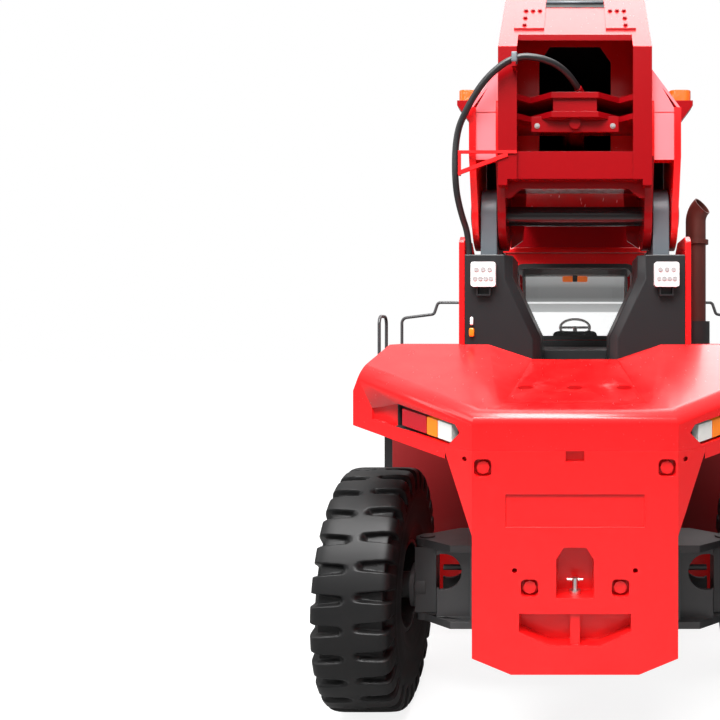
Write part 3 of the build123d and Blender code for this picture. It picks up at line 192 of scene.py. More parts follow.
def enamel(name, colour, deep, rough, coat=0.0, dust=0.1, relief=0.04, metal=0.0, shine=0.5):
    """Paint or metal under the film: two tones of one colour mixed by Tone, dust over it by a share of Dust,
    roughness raised by rubs and dust, and the relief as a bump. Shine is the level of its reflections."""
    made, tree, shader = finish_of(name, Metallic=metal, Coat_Weight=coat, Coat_Roughness=0.08,
                                   Specular_IOR_Level=shine)
    skin = tree.nodes.new("ShaderNodeGroup")
    skin.node_tree = film
    tones = node(tree, "Mix", {0: skin.outputs["Tone"]}, data_type="RGBA")
    tones.inputs[6].default_value = (*colour, 1)
    tones.inputs[7].default_value = (*deep, 1)
    settled = node(tree, "Math", {0: skin.outputs["Dust"]}, operation="MULTIPLY")
    settled.inputs[1].default_value = dust
    dusty = node(tree, "Mix", {0: settled.outputs[0], 6: tones.outputs[2]}, data_type="RGBA")
    dusty.inputs[7].default_value = dust_colour
    tree.links.new(dusty.outputs[2], shader.inputs["Base Color"])
    worn = node(tree, "Math", {0: skin.outputs["Rub"], 1: settled.outputs[0]}, operation="ADD")
    gloss = node(tree, "MapRange", {"Value": worn.outputs[0]}, To_Min=rough, To_Max=rough + rub_rise)
    tree.links.new(gloss.outputs[0], shader.inputs["Roughness"])
    bump = node(tree, "Bump", {"Height": skin.outputs["Relief"]}, Strength=relief, Distance=0.002)
    tree.links.new(bump.outputs[0], shader.inputs["Normal"])
    return made


bodies = {name: body for body, names in frame["record"]["behaviour"]["bodies"].items() for name in names}
weld_reach, bevel_angle, crease_angle = 2e-5, 0.6, 0.45


def softened(name, finish, width, others=(), flat=0.01):
    """A copy of a CAD node: doubles merged, flat faces joined, and each edge sharper than 35 degrees rounded
    by a bevel of the given width, so that plate edges catch the light, or left sharp at width 0. Large faces
    set the shading. Each other finish goes on the faces whose middle and normal pass its test."""
    mesh = frame["nodes"][name].data.copy()
    work = bmesh.new()
    work.from_mesh(mesh)
    bmesh.ops.remove_doubles(work, verts=work.verts, dist=weld_reach)
    bmesh.ops.dissolve_limit(work, angle_limit=flat, verts=work.verts, edges=work.edges)
    work.to_mesh(mesh)
    work.free()
    mesh.materials.clear()
    mesh.materials.append(finish)
    middle, normal = np.empty(3 * len(mesh.polygons)), np.empty(3 * len(mesh.polygons))
    mesh.polygons.foreach_get("center", middle)
    mesh.polygons.foreach_get("normal", normal)
    chosen = np.zeros(len(mesh.polygons), dtype=np.int32)
    for other, test in others:
        mesh.materials.append(other)
        chosen[test(*middle.reshape(-1, 3).T, normal.reshape(-1, 3))] = len(mesh.materials) - 1
    mesh.polygons.foreach_set("material_index", chosen)
    mesh.shade_smooth()
    piece = bpy.data.objects.new(f"{name}_skin", mesh)
    scene.collection.objects.link(piece)
    if width:
        edge = piece.modifiers.new("edge", "BEVEL")
        edge.width = width
        edge.segments = 2
        edge.limit_method = "ANGLE"
        edge.angle_limit = bevel_angle
        even_faces = piece.modifiers.new("even_faces", "WEIGHTED_NORMAL")
        even_faces.mode = "FACE_AREA"
        even_faces.weight = 100
    else:
        mesh.set_sharp_from_angle(angle=crease_angle)
    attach(piece, bodies[name])
    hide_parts(name)


red_gloss = enamel("red_gloss", (0.80, 0.005, 0.007), (0.74, 0.004, 0.005), rough=0.27, coat=0.12, dust=0.04,
                   relief=0.025)
softened("chassis_frame", red_gloss, width=0.006)

# The counterweight is one iron casting, filled and sprayed red. Four bolts in pockets hold it to the frame,
# and a forged pin with a cross handle drops through its tow pocket.
cast_red = enamel("cast_red", (0.80, 0.005, 0.006), (0.74, 0.004, 0.005), rough=0.33, coat=0.08, dust=0.04)
zinc_steel = enamel("zinc_steel", (0.62, 0.62, 0.60), (0.50, 0.50, 0.49), rough=0.30, relief=0.02, metal=1.0)
softened("counterweight", cast_red, width=0.010)
softened("tow_pin", zinc_steel, width=0.003)

# The rear hood is pressed sheet over a frame, with a sloping top, three shallow dents, a trough under the
# boom and swept wings. The dents are a dull dark red, painted shade. Recesses in the wings hold the tail
# lamps, and the recess faces behind them are black, painted shade; each lamp is three moulded lenses.
rear_y, wing_start, wing_out, wing_forward = -6.41, 0.56, 0.86, 0.75
wing_along = np.array([wing_out, wing_forward]) / np.hypot(wing_out, wing_forward)


def wing_run(x, y):
    """Distance out along the wing, measured in plan from its inner corner."""
    return (np.abs(x) - wing_start) * wing_along[0] + (y - rear_y) * wing_along[1]


def wing_depth(x, y):
    """Distance in behind the wing's face, in plan."""
    return (y - rear_y) * wing_along[0] - (np.abs(x) - wing_start) * wing_along[1]


def lens_of(name, colour, rough, clear, glow, flutes):
    """Moulded lens plastic: a clouded tint, a share of light let through, a little light given back, and
    upright and level flutes, two wave patterns added, as a bump."""
    deep_share, smear_rise = 0.85, 0.06
    made, tree, shader = finish_of(name, Transmission_Weight=clear, IOR=1.49, Emission_Strength=glow)
    place = node(tree, "TexCoord").outputs["Object"]
    cloud = node(tree, "TexNoise", {"Vector": place}, Scale=9.0, Detail=3.0)
    tint = node(tree, "Mix", {0: cloud.outputs["Fac"]}, data_type="RGBA")
    tint.inputs[6].default_value = (*colour, 1)
    tint.inputs[7].default_value = (*[deep_share * part for part in colour], 1)
    tree.links.new(tint.outputs[2], shader.inputs["Base Color"])
    tree.links.new(tint.outputs[2], shader.inputs["Emission Color"])
    smear = node(tree, "MapRange", {"Value": cloud.outputs["Fac"]}, To_Min=rough, To_Max=rough + smear_rise)
    tree.links.new(smear.outputs[0], shader.inputs["Roughness"])
    rows = [node(tree, "TexWave", {"Vector": place}, bands_direction=way, Scale=flutes) for way in ("X", "Z")]
    both = node(tree, "Math", {0: rows[0].outputs["Fac"], 1: rows[1].outputs["Fac"]}, operation="ADD")
    bump = node(tree, "Bump", {"Height": both.outputs[0]}, Strength=0.35, Distance=0.001)
    tree.links.new(bump.outputs[0], shader.inputs["Normal"])
    return made


trim_black = enamel("trim_black", (0.012, 0.012, 0.013), (0.008, 0.008, 0.009), rough=0.5, dust=0.08,
                    relief=0.12)
red_lens = lens_of("red_lens", (0.52, 0.006, 0.016), rough=0.12, clear=0.15, glow=0.06, flutes=40.0)
amber_lens = lens_of("amber_lens", (0.95, 0.23, 0.010), rough=0.12, clear=0.2, glow=0.25, flutes=40.0)
white_lens = lens_of("white_lens", (0.74, 0.73, 0.70), rough=0.12, clear=0.1, glow=0.08, flutes=40.0)
# A dull dark red for the dents' faces: painted shade.
dent_shade_red = enamel("dent_shade_red", (0.26, 0.002, 0.003), (0.22, 0.002, 0.003), rough=0.60, dust=0.04, shine=0.0)
dent_y, dent_x, dent_reach, dent_least = -5.95, 0.297, 0.08, 0.0008
trough_z, trough_rise = 2.2788, 0.2117
# The tray bounds find the faces of the wing recess behind the lamps, which are painted black as painted
# shade.
tray_near, tray_far, tray_low, tray_high, tray_in, tray_out = 0.026, 0.07, 1.9, 2.2, 0.1, 0.72
white_end, amber_end = 0.3085, 0.4085
softened("rear_hood", red_gloss, width=0, others=[
    (dent_shade_red, lambda x, y, z, n: (np.abs(y - dent_y) < dent_reach)
     & (z < trough_z + trough_rise * (y - dent_y) - dent_least)
     & (np.abs(np.abs(x) - dent_x * (np.abs(x) > dent_x / 2)) < dent_reach)),
    (trim_black, lambda x, y, z, n: (wing_depth(x, y) > tray_near) & (wing_depth(x, y) < tray_far)
     & (z > tray_low) & (z < tray_high) & (wing_run(x, y) > tray_in) & (wing_run(x, y) < tray_out)),
], flat=0.0005)
softened("tail_lamps", red_lens, width=0.003, others=[
    (white_lens, lambda x, y, z, n: wing_run(x, y) < white_end),
    (amber_lens, lambda x, y, z, n: (wing_run(x, y) >= white_end) & (wing_run(x, y) < amber_end)),
])

# The boom tower is two box posts of folded plate that lean apart in a V, sprayed near black, with grey cast
# lugs for the boom's pivot on top. Red side plates close the posts.
graphite = enamel("graphite_gloss", (0.010, 0.010, 0.011), (0.007, 0.007, 0.008), rough=0.38, coat=0.05,
                  dust=0.04, relief=0.02)
slate = enamel("slate_cast", (0.110, 0.125, 0.140), (0.075, 0.088, 0.100), rough=0.42, relief=0.1)
lug_base_z = 3.16
softened("boom_tower", graphite, width=0.008, others=[(slate, lambda x, y, z, n: z > lug_base_z)])
softened("tower_plates", red_gloss, width=0.006)


def piece_of(name, grids, finish, body, nodes=(), smooth=True):
    """A mesh from grids of points: each grid is (points, wrap rows, wrap columns), its cells are faces, and a
    wrapped direction joins its last line to its first. Each shell is turned outwards."""
    verts, faces, count = [], [], 0
    for points, wrap_rows, wrap_columns in grids:
        index = np.arange(points.shape[0] * points.shape[1]).reshape(points.shape[:2]) + count
        count += index.size
        if wrap_rows:
            index = np.vstack([index, index[:1]])
        if wrap_columns:
            index = np.hstack([index, index[:, :1]])
        cells = np.stack([index[:-1, :-1], index[1:, :-1], index[1:, 1:], index[:-1, 1:]], -1)
        verts.append(points.reshape(-1, 3))
        faces.append(cells.reshape(-1, 4))
    mesh = bpy.data.meshes.new(name)
    mesh.from_pydata(np.vstack(verts).tolist(), [], np.vstack(faces).tolist())
    work = bmesh.new()
    work.from_mesh(mesh)
    bmesh.ops.remove_doubles(work, verts=work.verts, dist=1e-6)
    bmesh.ops.recalc_face_normals(work, faces=work.faces)
    work.to_mesh(mesh)
    work.free()
    mesh.materials.append(finish)
    if smooth:
        mesh.shade_smooth()
    else:
        mesh.shade_flat()
    piece = bpy.data.objects.new(name, mesh)
    scene.collection.objects.link(piece)
    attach(piece, body)
    if nodes:
        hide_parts(*nodes)
    return piece


def circle_about(axis, angle):
    """The points of a unit circle about an axis at the given angles, and the axis at length 1."""
    axis = np.array(axis, dtype=float) / np.linalg.norm(axis)
    first = np.cross(axis, (0, 0, 1) if abs(axis[2]) < 0.9 else (1, 0, 0))
    first /= np.linalg.norm(first)
    return np.cos(angle)[:, None] * first + np.sin(angle)[:, None] * np.cross(axis, first), axis


def turned(profile, place, axis, sides):
    """A profile of (radius, height) points turned about an axis through a place. Radius 0 closes an end."""
    ring, axis = circle_about(axis, np.arange(sides) * (2 * np.pi / sides))
    profile = np.array(profile, dtype=float)
    return np.array(place) + profile[:, 0, None, None] * ring + profile[:, 1, None, None] * axis, False, True


def rounded(middle, half, power, lean=0.0):
    """A box with rounded edges: a ball whose sines and cosines are raised to a small power, stretched to its
    half sizes, and leaned by so much Y for each Z."""
    rows, columns = 17, 32
    rise = np.linspace(-np.pi / 2, np.pi / 2, rows)[:, None]
    turn = np.arange(columns)[None, :] * (2 * np.pi / columns)
    waves = np.cos(rise), np.cos(turn), np.sin(turn), np.sin(rise)
    level, wide, deep, tall = [np.sign(wave) * np.abs(wave) ** power for wave in waves]
    points = np.stack(np.broadcast_arrays(level * wide, level * deep, tall), -1) * np.array(half)
    points[..., 1] += lean * points[..., 2]
    return points + np.array(middle), False, True


# A small hydraulic test point of moulded plastic is screwed to the left post near its outer edge: a pale stem
# with an amber cap under it. The cap has the amber lens finish, whose faint glow is painted light.
test_x = -0.714
lamp_case = enamel("lamp_case", (0.80, 0.81, 0.80), (0.72, 0.73, 0.73), rough=0.30, coat=0.1, dust=0.05,
                   relief=0.03)
piece_of("test_point_body", [rounded((test_x, -5.259, 2.690), (0.011, 0.012, 0.028), power=0.4)], lamp_case,
         "chassis")
# The cap glows faintly with the amber lens's emission: painted light.
piece_of("test_point_cap", [rounded((test_x, -5.262, 2.612), (0.018, 0.015, 0.030), power=0.5)], amber_lens,
         "chassis")

# Each work lamp on the posts is a square moulded case with two rows of LED cups, three over four, on a bent
# strap bracket. The front lamps are clear lenses on the fenders.
led_dark = enamel("led_cup", (0.42, 0.42, 0.42), (0.30, 0.30, 0.30), rough=0.2, coat=0.3, dust=0.0,
                  relief=0.02)
lamp_x, lamp_z, lamp_face, lamp_half = 0.63, 3.01, -5.31, 0.088
softened("work_lamps", lamp_case, width=0.008, others=[
    (graphite, lambda x, y, z, n: (y < 0) & (z < lamp_z - lamp_half)),
    (white_lens, lambda x, y, z, n: y > 0),
])
cup_rows = [(x, 0.032) for x in (-0.045, 0.0, 0.045)] + [(x, -0.030) for x in (-0.054, -0.018, 0.018, 0.054)]
cup_profile = [(0, 0.0), (0.0165, 0.0), (0.0165, 0.004), (0.012, 0.0045), (0.0095, 0.002), (0.005, 0.004),
               (0, 0.0045)]
cups = [turned(cup_profile, (side * lamp_x + x, lamp_face, lamp_z + z), (0, -1, 0), sides=16)
        for side in (-1, 1) for x, z in cup_rows]
piece_of("work_lamp_cups", cups, led_dark, "chassis")

# A fixed black sheet cover with louvres is bolted between the decks behind the cab, over the engine, which is
# cast iron painted grey.
engine_grey = enamel("engine_grey", (0.05, 0.052, 0.055), (0.03, 0.031, 0.033), rough=0.5, dust=0.3)
softened("engine_cover", trim_black, width=0.006)
softened("engine_block", engine_grey, width=0.010)

# The decks are folded plate with an anti-slip coat on top. Under them hang the two welded tanks and, ahead of
# the rear axle, a flat skirt on each side; bolted steps and bent tube rails lead up beside the cab.
grip_coat = enamel("grip_coat", (0.020, 0.020, 0.021), (0.012, 0.012, 0.013), rough=0.75, dust=0.3,
                   relief=0.9)
rail_black = enamel("rail_black", (0.060, 0.060, 0.062), (0.040, 0.040, 0.042), rough=0.30, coat=0.1)
shade_red = enamel("shade_red", (0.24, 0.003, 0.004), (0.17, 0.002, 0.003), rough=0.5, dust=0.15)
square, deck_z, bulkhead_z = 0.9, 1.78, 1.74
softened("side_decks", red_gloss, width=0.004, others=[
    (grip_coat, lambda x, y, z, n: (n[:, 2] > square) & (z > deck_z)),
    (shade_red, lambda x, y, z, n: (n[:, 1] < -square) & (z < bulkhead_z)),
])
skirt_x, skirt_y, skirt_z = 1.02, -4.026, 0.655
piece_of("rear_skirts", [rounded((side * skirt_x, skirt_y, skirt_z), (0.50, 0.012, 0.255), power=0.06)
                         for side in (-1, 1)], red_gloss, "chassis")
softened("fuel_tank", red_gloss, width=0.010)
softened("hydraulic_tank", red_gloss, width=0.010)
softened("steps", graphite, width=0.003, others=[(grip_coat, lambda x, y, z, n: n[:, 2] > square)])
softened("handrails", rail_black, width=0.003, flat=0.001)
softened("front_fenders", red_gloss, width=0.006,
         others=[(grip_coat, lambda x, y, z, n: (n[:, 2] > square) & (z > deck_z))])

# The drive axle is a cast housing. The steer axle is a welded box with an eye at each end, with its cylinder
# inside, and the knuckles turn on pins between its flanges.
axle_grey = enamel("axle_grey", (0.075, 0.076, 0.078), (0.055, 0.056, 0.058), rough=0.42, coat=0.05)
softened("front_axle", axle_grey, width=0.008)
softened("steer_axle", axle_grey, width=0.006)
for side in ("left", "right"):
    softened(f"knuckle_{side}", axle_grey, width=0.006)

# The rims are rolled and welded steel with a pressed disc, sprayed black. A ring of ten washer-faced nuts
# holds each one to its hub.
rim_black = enamel("rim_black", (0.016, 0.016, 0.017), (0.011, 0.011, 0.012), rough=0.38, coat=0.1, dust=0.25)


def bolts(name, places, axis, radius, finish, body):
    """Hexagon heads on round washers: 12 columns whose radius is the washer's, then a hexagon's, which is
    cos 30 over the cosine of the angle from the middle of a side, up to a chamfered flat top."""
    angle = np.arange(12) * (np.pi / 6)
    ring, axis = circle_about(axis, angle)
    hexagon = np.cos(np.pi / 6) / np.cos(angle % (np.pi / 3) - np.pi / 6)
    washer, chamfer, washer_top, chamfer_start = 1.45 + 0 * angle, 0.85 * hexagon, 0.2, 0.85
    rings = [(0 * angle, 0.0), (washer, 0.0), (washer, washer_top), (hexagon, washer_top),
             (hexagon, chamfer_start), (chamfer, 1.0), (0 * angle, 1.0)]
    head = np.stack([radius * (reach[:, None] * ring + height * axis) for reach, height in rings])
    heads = [(np.array(place) + head, False, True) for place in places]
    piece_of(name, heads, finish, body, smooth=False)


nut_count, nut_circle, nut_radius, nut_phase, axle_z = 10, 0.19, 0.018, 0.31, 0.82
nut_turn = np.arange(nut_count) * (2 * np.pi / nut_count) + nut_phase
for side, sign in (("left", -1), ("right", 1)):
    for name, label, disc_x, axle_y in (("rear", "rear_rim", 1.44, -5.1),
                                        ("front", "front_rims", 1.885, 0.9)):
        softened(f"{label}_{side}", rim_black, width=0.006)
        places = [(sign * disc_x, axle_y + nut_circle * np.cos(turn), axle_z + nut_circle * np.sin(turn))
                  for turn in nut_turn]
        bolts(f"{name}_nuts_{side}", places, (sign, 0, 0), nut_radius, zinc_steel, bodies[f"{label}_{side}"])

# The tyres are bias-ply port tyres, moulded with a wide smooth crown. Each shoulder has 28 tapered cross
# grooves with round inner ends, a tenth of a pitch from the other side's, and the walls carry raised rings.
tyre_rubber = enamel("tyre_rubber", (0.0050, 0.0050, 0.0055), (0.0075, 0.0075, 0.0075), rough=0.46, dust=0.03,
                     relief=0.12, shine=0.27)
tyre_radius, tyre_half, bead_radius, bead_half = 0.82, 0.25, 0.317, 0.205
belt_radius, crown_power, section_count = 0.56, 0.24, 84
groove_count, groove_depth, groove_end, groove_ramp = 28, 0.046, 0.068, 0.009
groove_lead, groove_start, groove_half, groove_flare = -0.05, 0.02, 0.025, 0.013
fade_radius, fade_reach, lead_reach = 0.66, 0.06, 0.04
ring_radii, ring_height, ring_width = np.array([0.42, 0.63]), 0.004, 0.008


def even(points, count):
    """Points evenly spaced by length along a dense open line."""
    reach = np.concatenate([[0], np.cumsum(np.linalg.norm(np.diff(points, axis=0), axis=1))])
    want = np.linspace(0, reach[-1], count)
    return np.stack([np.interp(want, reach, column) for column in points.T], -1)


def tyre_skin(x, y):
    """The section is a superellipse above the belt radius and a parabola in to the bead below it. It is
    turned about the axle, and goes in along its own normal by the groove depth wherever a point lies inside a
    groove: nearer to the groove's middle line than a half width that grows from 25 mm to 38 mm at the
    shoulder. The columns crowd together at the groove walls. The sides lie a tenth of a pitch apart."""
    turn = np.linspace(np.pi, 0, 4000)
    crown_x = tyre_half * np.sign(np.cos(turn)) * np.abs(np.cos(turn)) ** crown_power
    crown_r = belt_radius + (tyre_radius - belt_radius) * np.sin(turn) ** crown_power
    drop = np.linspace(0, 1, 200)
    wall_x = tyre_half - (tyre_half - bead_half) * drop ** 2
    wall_r = belt_radius - (belt_radius - bead_radius) * drop
    line = np.vstack([np.stack([-wall_x, wall_r], -1)[::-1], np.stack([crown_x, crown_r], -1)[1:-1],
                      np.stack([wall_x, wall_r], -1)])
    section = even(line, section_count)
    normal = np.gradient(section, axis=0)[:, ::-1] * (-1, 1)
    normal /= np.linalg.norm(normal, axis=1, keepdims=True)
    wall = np.linspace(0.11, 0.24, 6)
    steps = np.concatenate([[-0.5, -0.38, -0.28], -wall[::-1], [-0.04, 0.04], wall, [0.28, 0.38]])
    pitch = 2 * np.pi / groove_count
    lead = groove_lead * np.clip(section[None, :, 0] / lead_reach, -1, 1)
    angle = ((np.arange(groove_count)[:, None] + steps).reshape(-1, 1) + lead) * pitch + groove_start
    aside = np.abs(np.tile(steps, groove_count))[:, None] * pitch * tyre_radius
    across = np.abs(section[None, :, 0])
    half = groove_half + groove_flare * np.clip((across - groove_end) / (tyre_half - groove_end), 0, 1)
    inside = np.where(across > groove_end, half - aside, groove_half - np.hypot(across - groove_end, aside))
    cut = np.clip(inside / groove_ramp + 0.5, 0, 1)
    fade = np.clip((section[None, :, 1] - fade_radius) / fade_reach, 0, 1)
    depth = groove_depth * cut * fade * fade * (3 - 2 * fade)
    ring = ring_height * np.exp(-((section[None, :, 1] - ring_radii[:, None]) / ring_width) ** 2).sum(0)
    width = section[None, :, 0] + normal[None, :, 0] * (ring - depth)
    radius = section[None, :, 1] + normal[None, :, 1] * (ring - depth)
    return np.stack([x + width, y + radius * np.cos(angle),
                     tyre_radius + radius * np.sin(angle)], -1), True, False


for side in ("left", "right"):
    for node_name, count in ((f"rear_tyre_{side}", 1), (f"front_tyres_{side}", 2)):
        low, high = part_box(node_name)
        middle = (low.y + high.y) / 2
        rows = [low.x + tyre_half, high.x - tyre_half][:count]
        piece_of(f"{node_name}_tread", [tyre_skin(x, middle) for x in rows], tyre_rubber, bodies[node_name],
                 [node_name])

# The cab is a welded tube and sheet box, red outside, with toughened panes in black rubber gaskets and a
# moulded console with a steering wheel.
softened("cab_floor", graphite, width=0.005)
lining_turn = 0.4
cab_inside = enamel("cab_lining", (0.42, 0.42, 0.42), (0.36, 0.36, 0.36), rough=0.6, dust=0.05, relief=0.1)
softened("cab_back", red_gloss, width=0.006, others=[(cab_inside, lambda x, y, z, n: n[:, 1] > square)])
softened("cab_front", red_gloss, width=0.006, others=[(cab_inside, lambda x, y, z, n: n[:, 1] < -square)])
softened("cab_sides", red_gloss, width=0.004,
         others=[(cab_inside, lambda x, y, z, n: n[:, 0] * x < -lining_turn)])
softened("cab_roof", red_gloss, width=0.005, others=[(cab_inside, lambda x, y, z, n: n[:, 2] < -square)])
console_grey = enamel("console_grey", (0.66, 0.66, 0.65), (0.60, 0.60, 0.60), rough=0.5, dust=0.05,
                      relief=0.08)
softened("control_console", console_grey, width=0.006)
cab_pane, pane_tree, pane_shader = finish_of("cab_pane", Base_Color=(0.95, 0.97, 0.97, 1), IOR=1.45,
                                             Transmission_Weight=1.0)
pane_place = node(pane_tree, "TexCoord").outputs["Object"]
pane_smear = node(pane_tree, "TexNoise", {"Vector": pane_place}, Scale=3.0, Detail=6.0)
pane_haze = node(pane_tree, "MapRange", {"Value": pane_smear.outputs["Fac"]}, From_Min=0.45, From_Max=0.8,
                 To_Max=0.08)
pane_tree.links.new(pane_haze.outputs[0], pane_shader.inputs["Roughness"])
softened("cab_glass", cab_pane, width=0)
gasket_rubber = enamel("gasket_rubber", (0.010, 0.010, 0.010), (0.014, 0.014, 0.014), rough=0.6, relief=0.1)


def gasket(middle, wide, tall, outer, inner, radii, out, into):
    """A strip round a window: two rectangles with round corners, one outside the window's edge and one inside
    it, joined front and back. The upper and the lower corners have their own radius. A corner's points are
    its middle plus its radius times the cosine and sine."""
    turn = np.linspace(0, np.pi / 2, 11)
    corners = [(1, 1, 0, 0), (-1, 1, 1, 0), (-1, -1, 2, 1), (1, -1, 3, 1)]
    lines = []
    for inset, depth in ((-outer, out), (-outer, into), (inner, into), (inner, out)):
        bends = [radii[low] + (outer if inset < 0 else 0) for low in (0, 1)]
        arcs = [(turn + quarter * np.pi / 2, a, b, bends[low]) for a, b, quarter, low in corners]
        path = np.vstack([np.stack([a * (wide - inset - bend) + bend * np.cos(arc),
                                    b * (tall - inset - bend) + bend * np.sin(arc)], -1)
                          for arc, a, b, bend in arcs])
        lines.append(np.insert(path, 1, depth, axis=1))
    return np.stack(lines, 1) + np.array(middle), True, True


cab_rear_y, cab_front_y = -3.15, -1.25
rear_gasket = gasket((0, cab_rear_y, 2.91), wide=0.57, tall=0.35, outer=0.016, inner=0.024,
                     radii=(0.075, 0.20), out=-0.012, into=0.018)
front_gasket = gasket((0, cab_front_y, 2.69), wide=0.60, tall=0.61, outer=0.014, inner=0.014,
                      radii=(0.085, 0.085), out=-0.018, into=0.012)
piece_of("cab_gaskets", [rear_gasket, front_gasket], gasket_rubber, "chassis", smooth=False)
piece_of("cab_back_trim", [rounded((0, cab_rear_y - 0.006, 2.195), (0.63, 0.008, 0.345), power=0.1)],
         trim_black, "chassis")

# A cloth roller blind hangs inside the front screen: grey mesh above, a white band below, a white bar between
# them and a tube above that it rolls on, held in the front frame. The cloth glows in its own tone, painted
# light: the white band stands in for the bright outside seen through the glass, the grey above it, lighter
# and darker by height, is a painted reflection, and the white bar is a painted highlight. An orange escape
# hammer in a black clip is fixed on the driver's side of it; the hammer glows too, painted light.
blind_y, blind_wide, blind_low, blind_high = -1.345, 1.18, 2.10, 3.285
blind_ripple, blind_waves = 0.004, 9
across_blind, down_blind = np.meshgrid(np.linspace(-0.5, 0.5, 25), np.linspace(0, 1, 41))
blind_points = np.stack([across_blind * blind_wide,
                         blind_y + blind_ripple * np.sin(blind_waves * across_blind) * down_blind,
                         blind_high + (blind_low - blind_high) * down_blind], -1)
blind_glow_cloth, blind_tree, blind_shader = finish_of("blind_glow_cloth", Emission_Strength=1.0, Roughness=0.8)
blind_place = node(blind_tree, "TexCoord").outputs["Object"]
blind_apart = node(blind_tree, "SeparateXYZ", {0: blind_place})
blind_height = node(blind_tree, "MapRange", {"Value": blind_apart.outputs["Z"]}, From_Min=2.80, From_Max=3.30)
blind_painted_tone = node(blind_tree, "ValToRGB", {0: blind_height.outputs[0]})
# Grey bands by height are a painted reflection, the white bar a painted highlight, and the white below is the
# bright outside seen through the glass, all glowing: painted light.
blind_painted_light_bands = ((0.0, 0.96), (0.115, 0.96), (0.13, 0.44), (0.32, 0.34), (0.335, 0.85), (0.36, 0.85),
               (0.375, 0.22), (0.48, 0.14), (0.70, 0.16), (0.80, 0.24), (1.0, 0.32))
for count, (height, tone) in enumerate(blind_painted_light_bands):
    stop = blind_painted_tone.color_ramp.elements[count] if count < 2 else blind_painted_tone.color_ramp.elements.new(height)
    stop.position = height
    stop.color = (tone, tone, tone, 1)
weave = [node(blind_tree, "TexWave", {"Vector": blind_place}, bands_direction=way, Scale=180.0)
         for way in ("X", "Z")]
threads = node(blind_tree, "Math", {0: weave[0].outputs["Fac"], 1: weave[1].outputs["Fac"]},
               operation="MULTIPLY")
blind_tree.links.new(blind_painted_tone.outputs[0], blind_shader.inputs["Base Color"])
blind_tree.links.new(blind_painted_tone.outputs[0], blind_shader.inputs["Emission Color"])
blind_bump = node(blind_tree, "Bump", {"Height": threads.outputs[0]}, Strength=0.3, Distance=0.0006)
blind_tree.links.new(blind_bump.outputs[0], blind_shader.inputs["Normal"])
blind = piece_of("roller_blind", [(blind_points, False, False)], blind_glow_cloth, "chassis")
tube_radius, tube_long, tube_y, tube_z = 0.018, blind_wide + 0.02, blind_y + 0.02, 3.30
tube_profile = [(0, 0), (tube_radius, 0), (tube_radius, tube_long), (0, tube_long)]
piece_of("blind_tube", [turned(tube_profile, (-tube_long / 2, tube_y, tube_z), (1, 0, 0), sides=20)],
         lamp_case, "chassis")
escape_glow_orange = enamel("escape_glow_orange", (0.95, 0.17, 0.01), (0.85, 0.13, 0.01), rough=0.4, coat=0.1, dust=0.0,
                       relief=0.02)
# The hammer glows orange, though it is no lamp: painted light.
tune(escape_glow_orange.node_tree.nodes["Principled BSDF"], Emission_Color=(0.95, 0.17, 0.01, 1),
     Emission_Strength=0.4)
hammer_x, hammer_y, hammer_z = 0.085, blind_y - 0.022, 3.255
piece_of("escape_hammer", [rounded((side * hammer_x, hammer_y, hammer_z), (0.065, 0.014, 0.034), power=0.35)
                           for side in (-1, 1)], escape_glow_orange, "chassis")
piece_of("escape_clip", [rounded((0, blind_y - 0.018, 3.262), (0.030, 0.020, 0.038), power=0.3)], trim_black,
         "chassis")

# The driver's seat is a steel box bolted to the cab's floor, with two padded cushions in black woven cloth,
# sewn and blown up tight.
seat_cloth, seat_tree, seat_shader = finish_of("seat_cloth", Roughness=0.85, Sheen_Weight=0.2)
seat_place = node(seat_tree, "TexCoord").outputs["Object"]
seat_rows = [node(seat_tree, "TexWave", {"Vector": seat_place}, bands_direction=way, Scale=120.0,
                  Distortion=0.6) for way in ("X", "DIAGONAL")]
seat_weave = node(seat_tree, "Math", {0: seat_rows[0].outputs["Fac"], 1: seat_rows[1].outputs["Fac"]},
                  operation="ADD")
seat_tone = node(seat_tree, "Mix", {0: seat_rows[0].outputs["Fac"]}, data_type="RGBA")
seat_tone.inputs[6].default_value = (0.012, 0.012, 0.013, 1)
seat_tone.inputs[7].default_value = (0.030, 0.030, 0.032, 1)
seat_tree.links.new(seat_tone.outputs[2], seat_shader.inputs["Base Color"])
seat_bump = node(seat_tree, "Bump", {"Height": seat_weave.outputs[0]}, Strength=0.4, Distance=0.0008)
seat_tree.links.new(seat_bump.outputs[0], seat_shader.inputs["Normal"])
blow_frames, weave_size, blow_force = 20, 0.006, 4.0


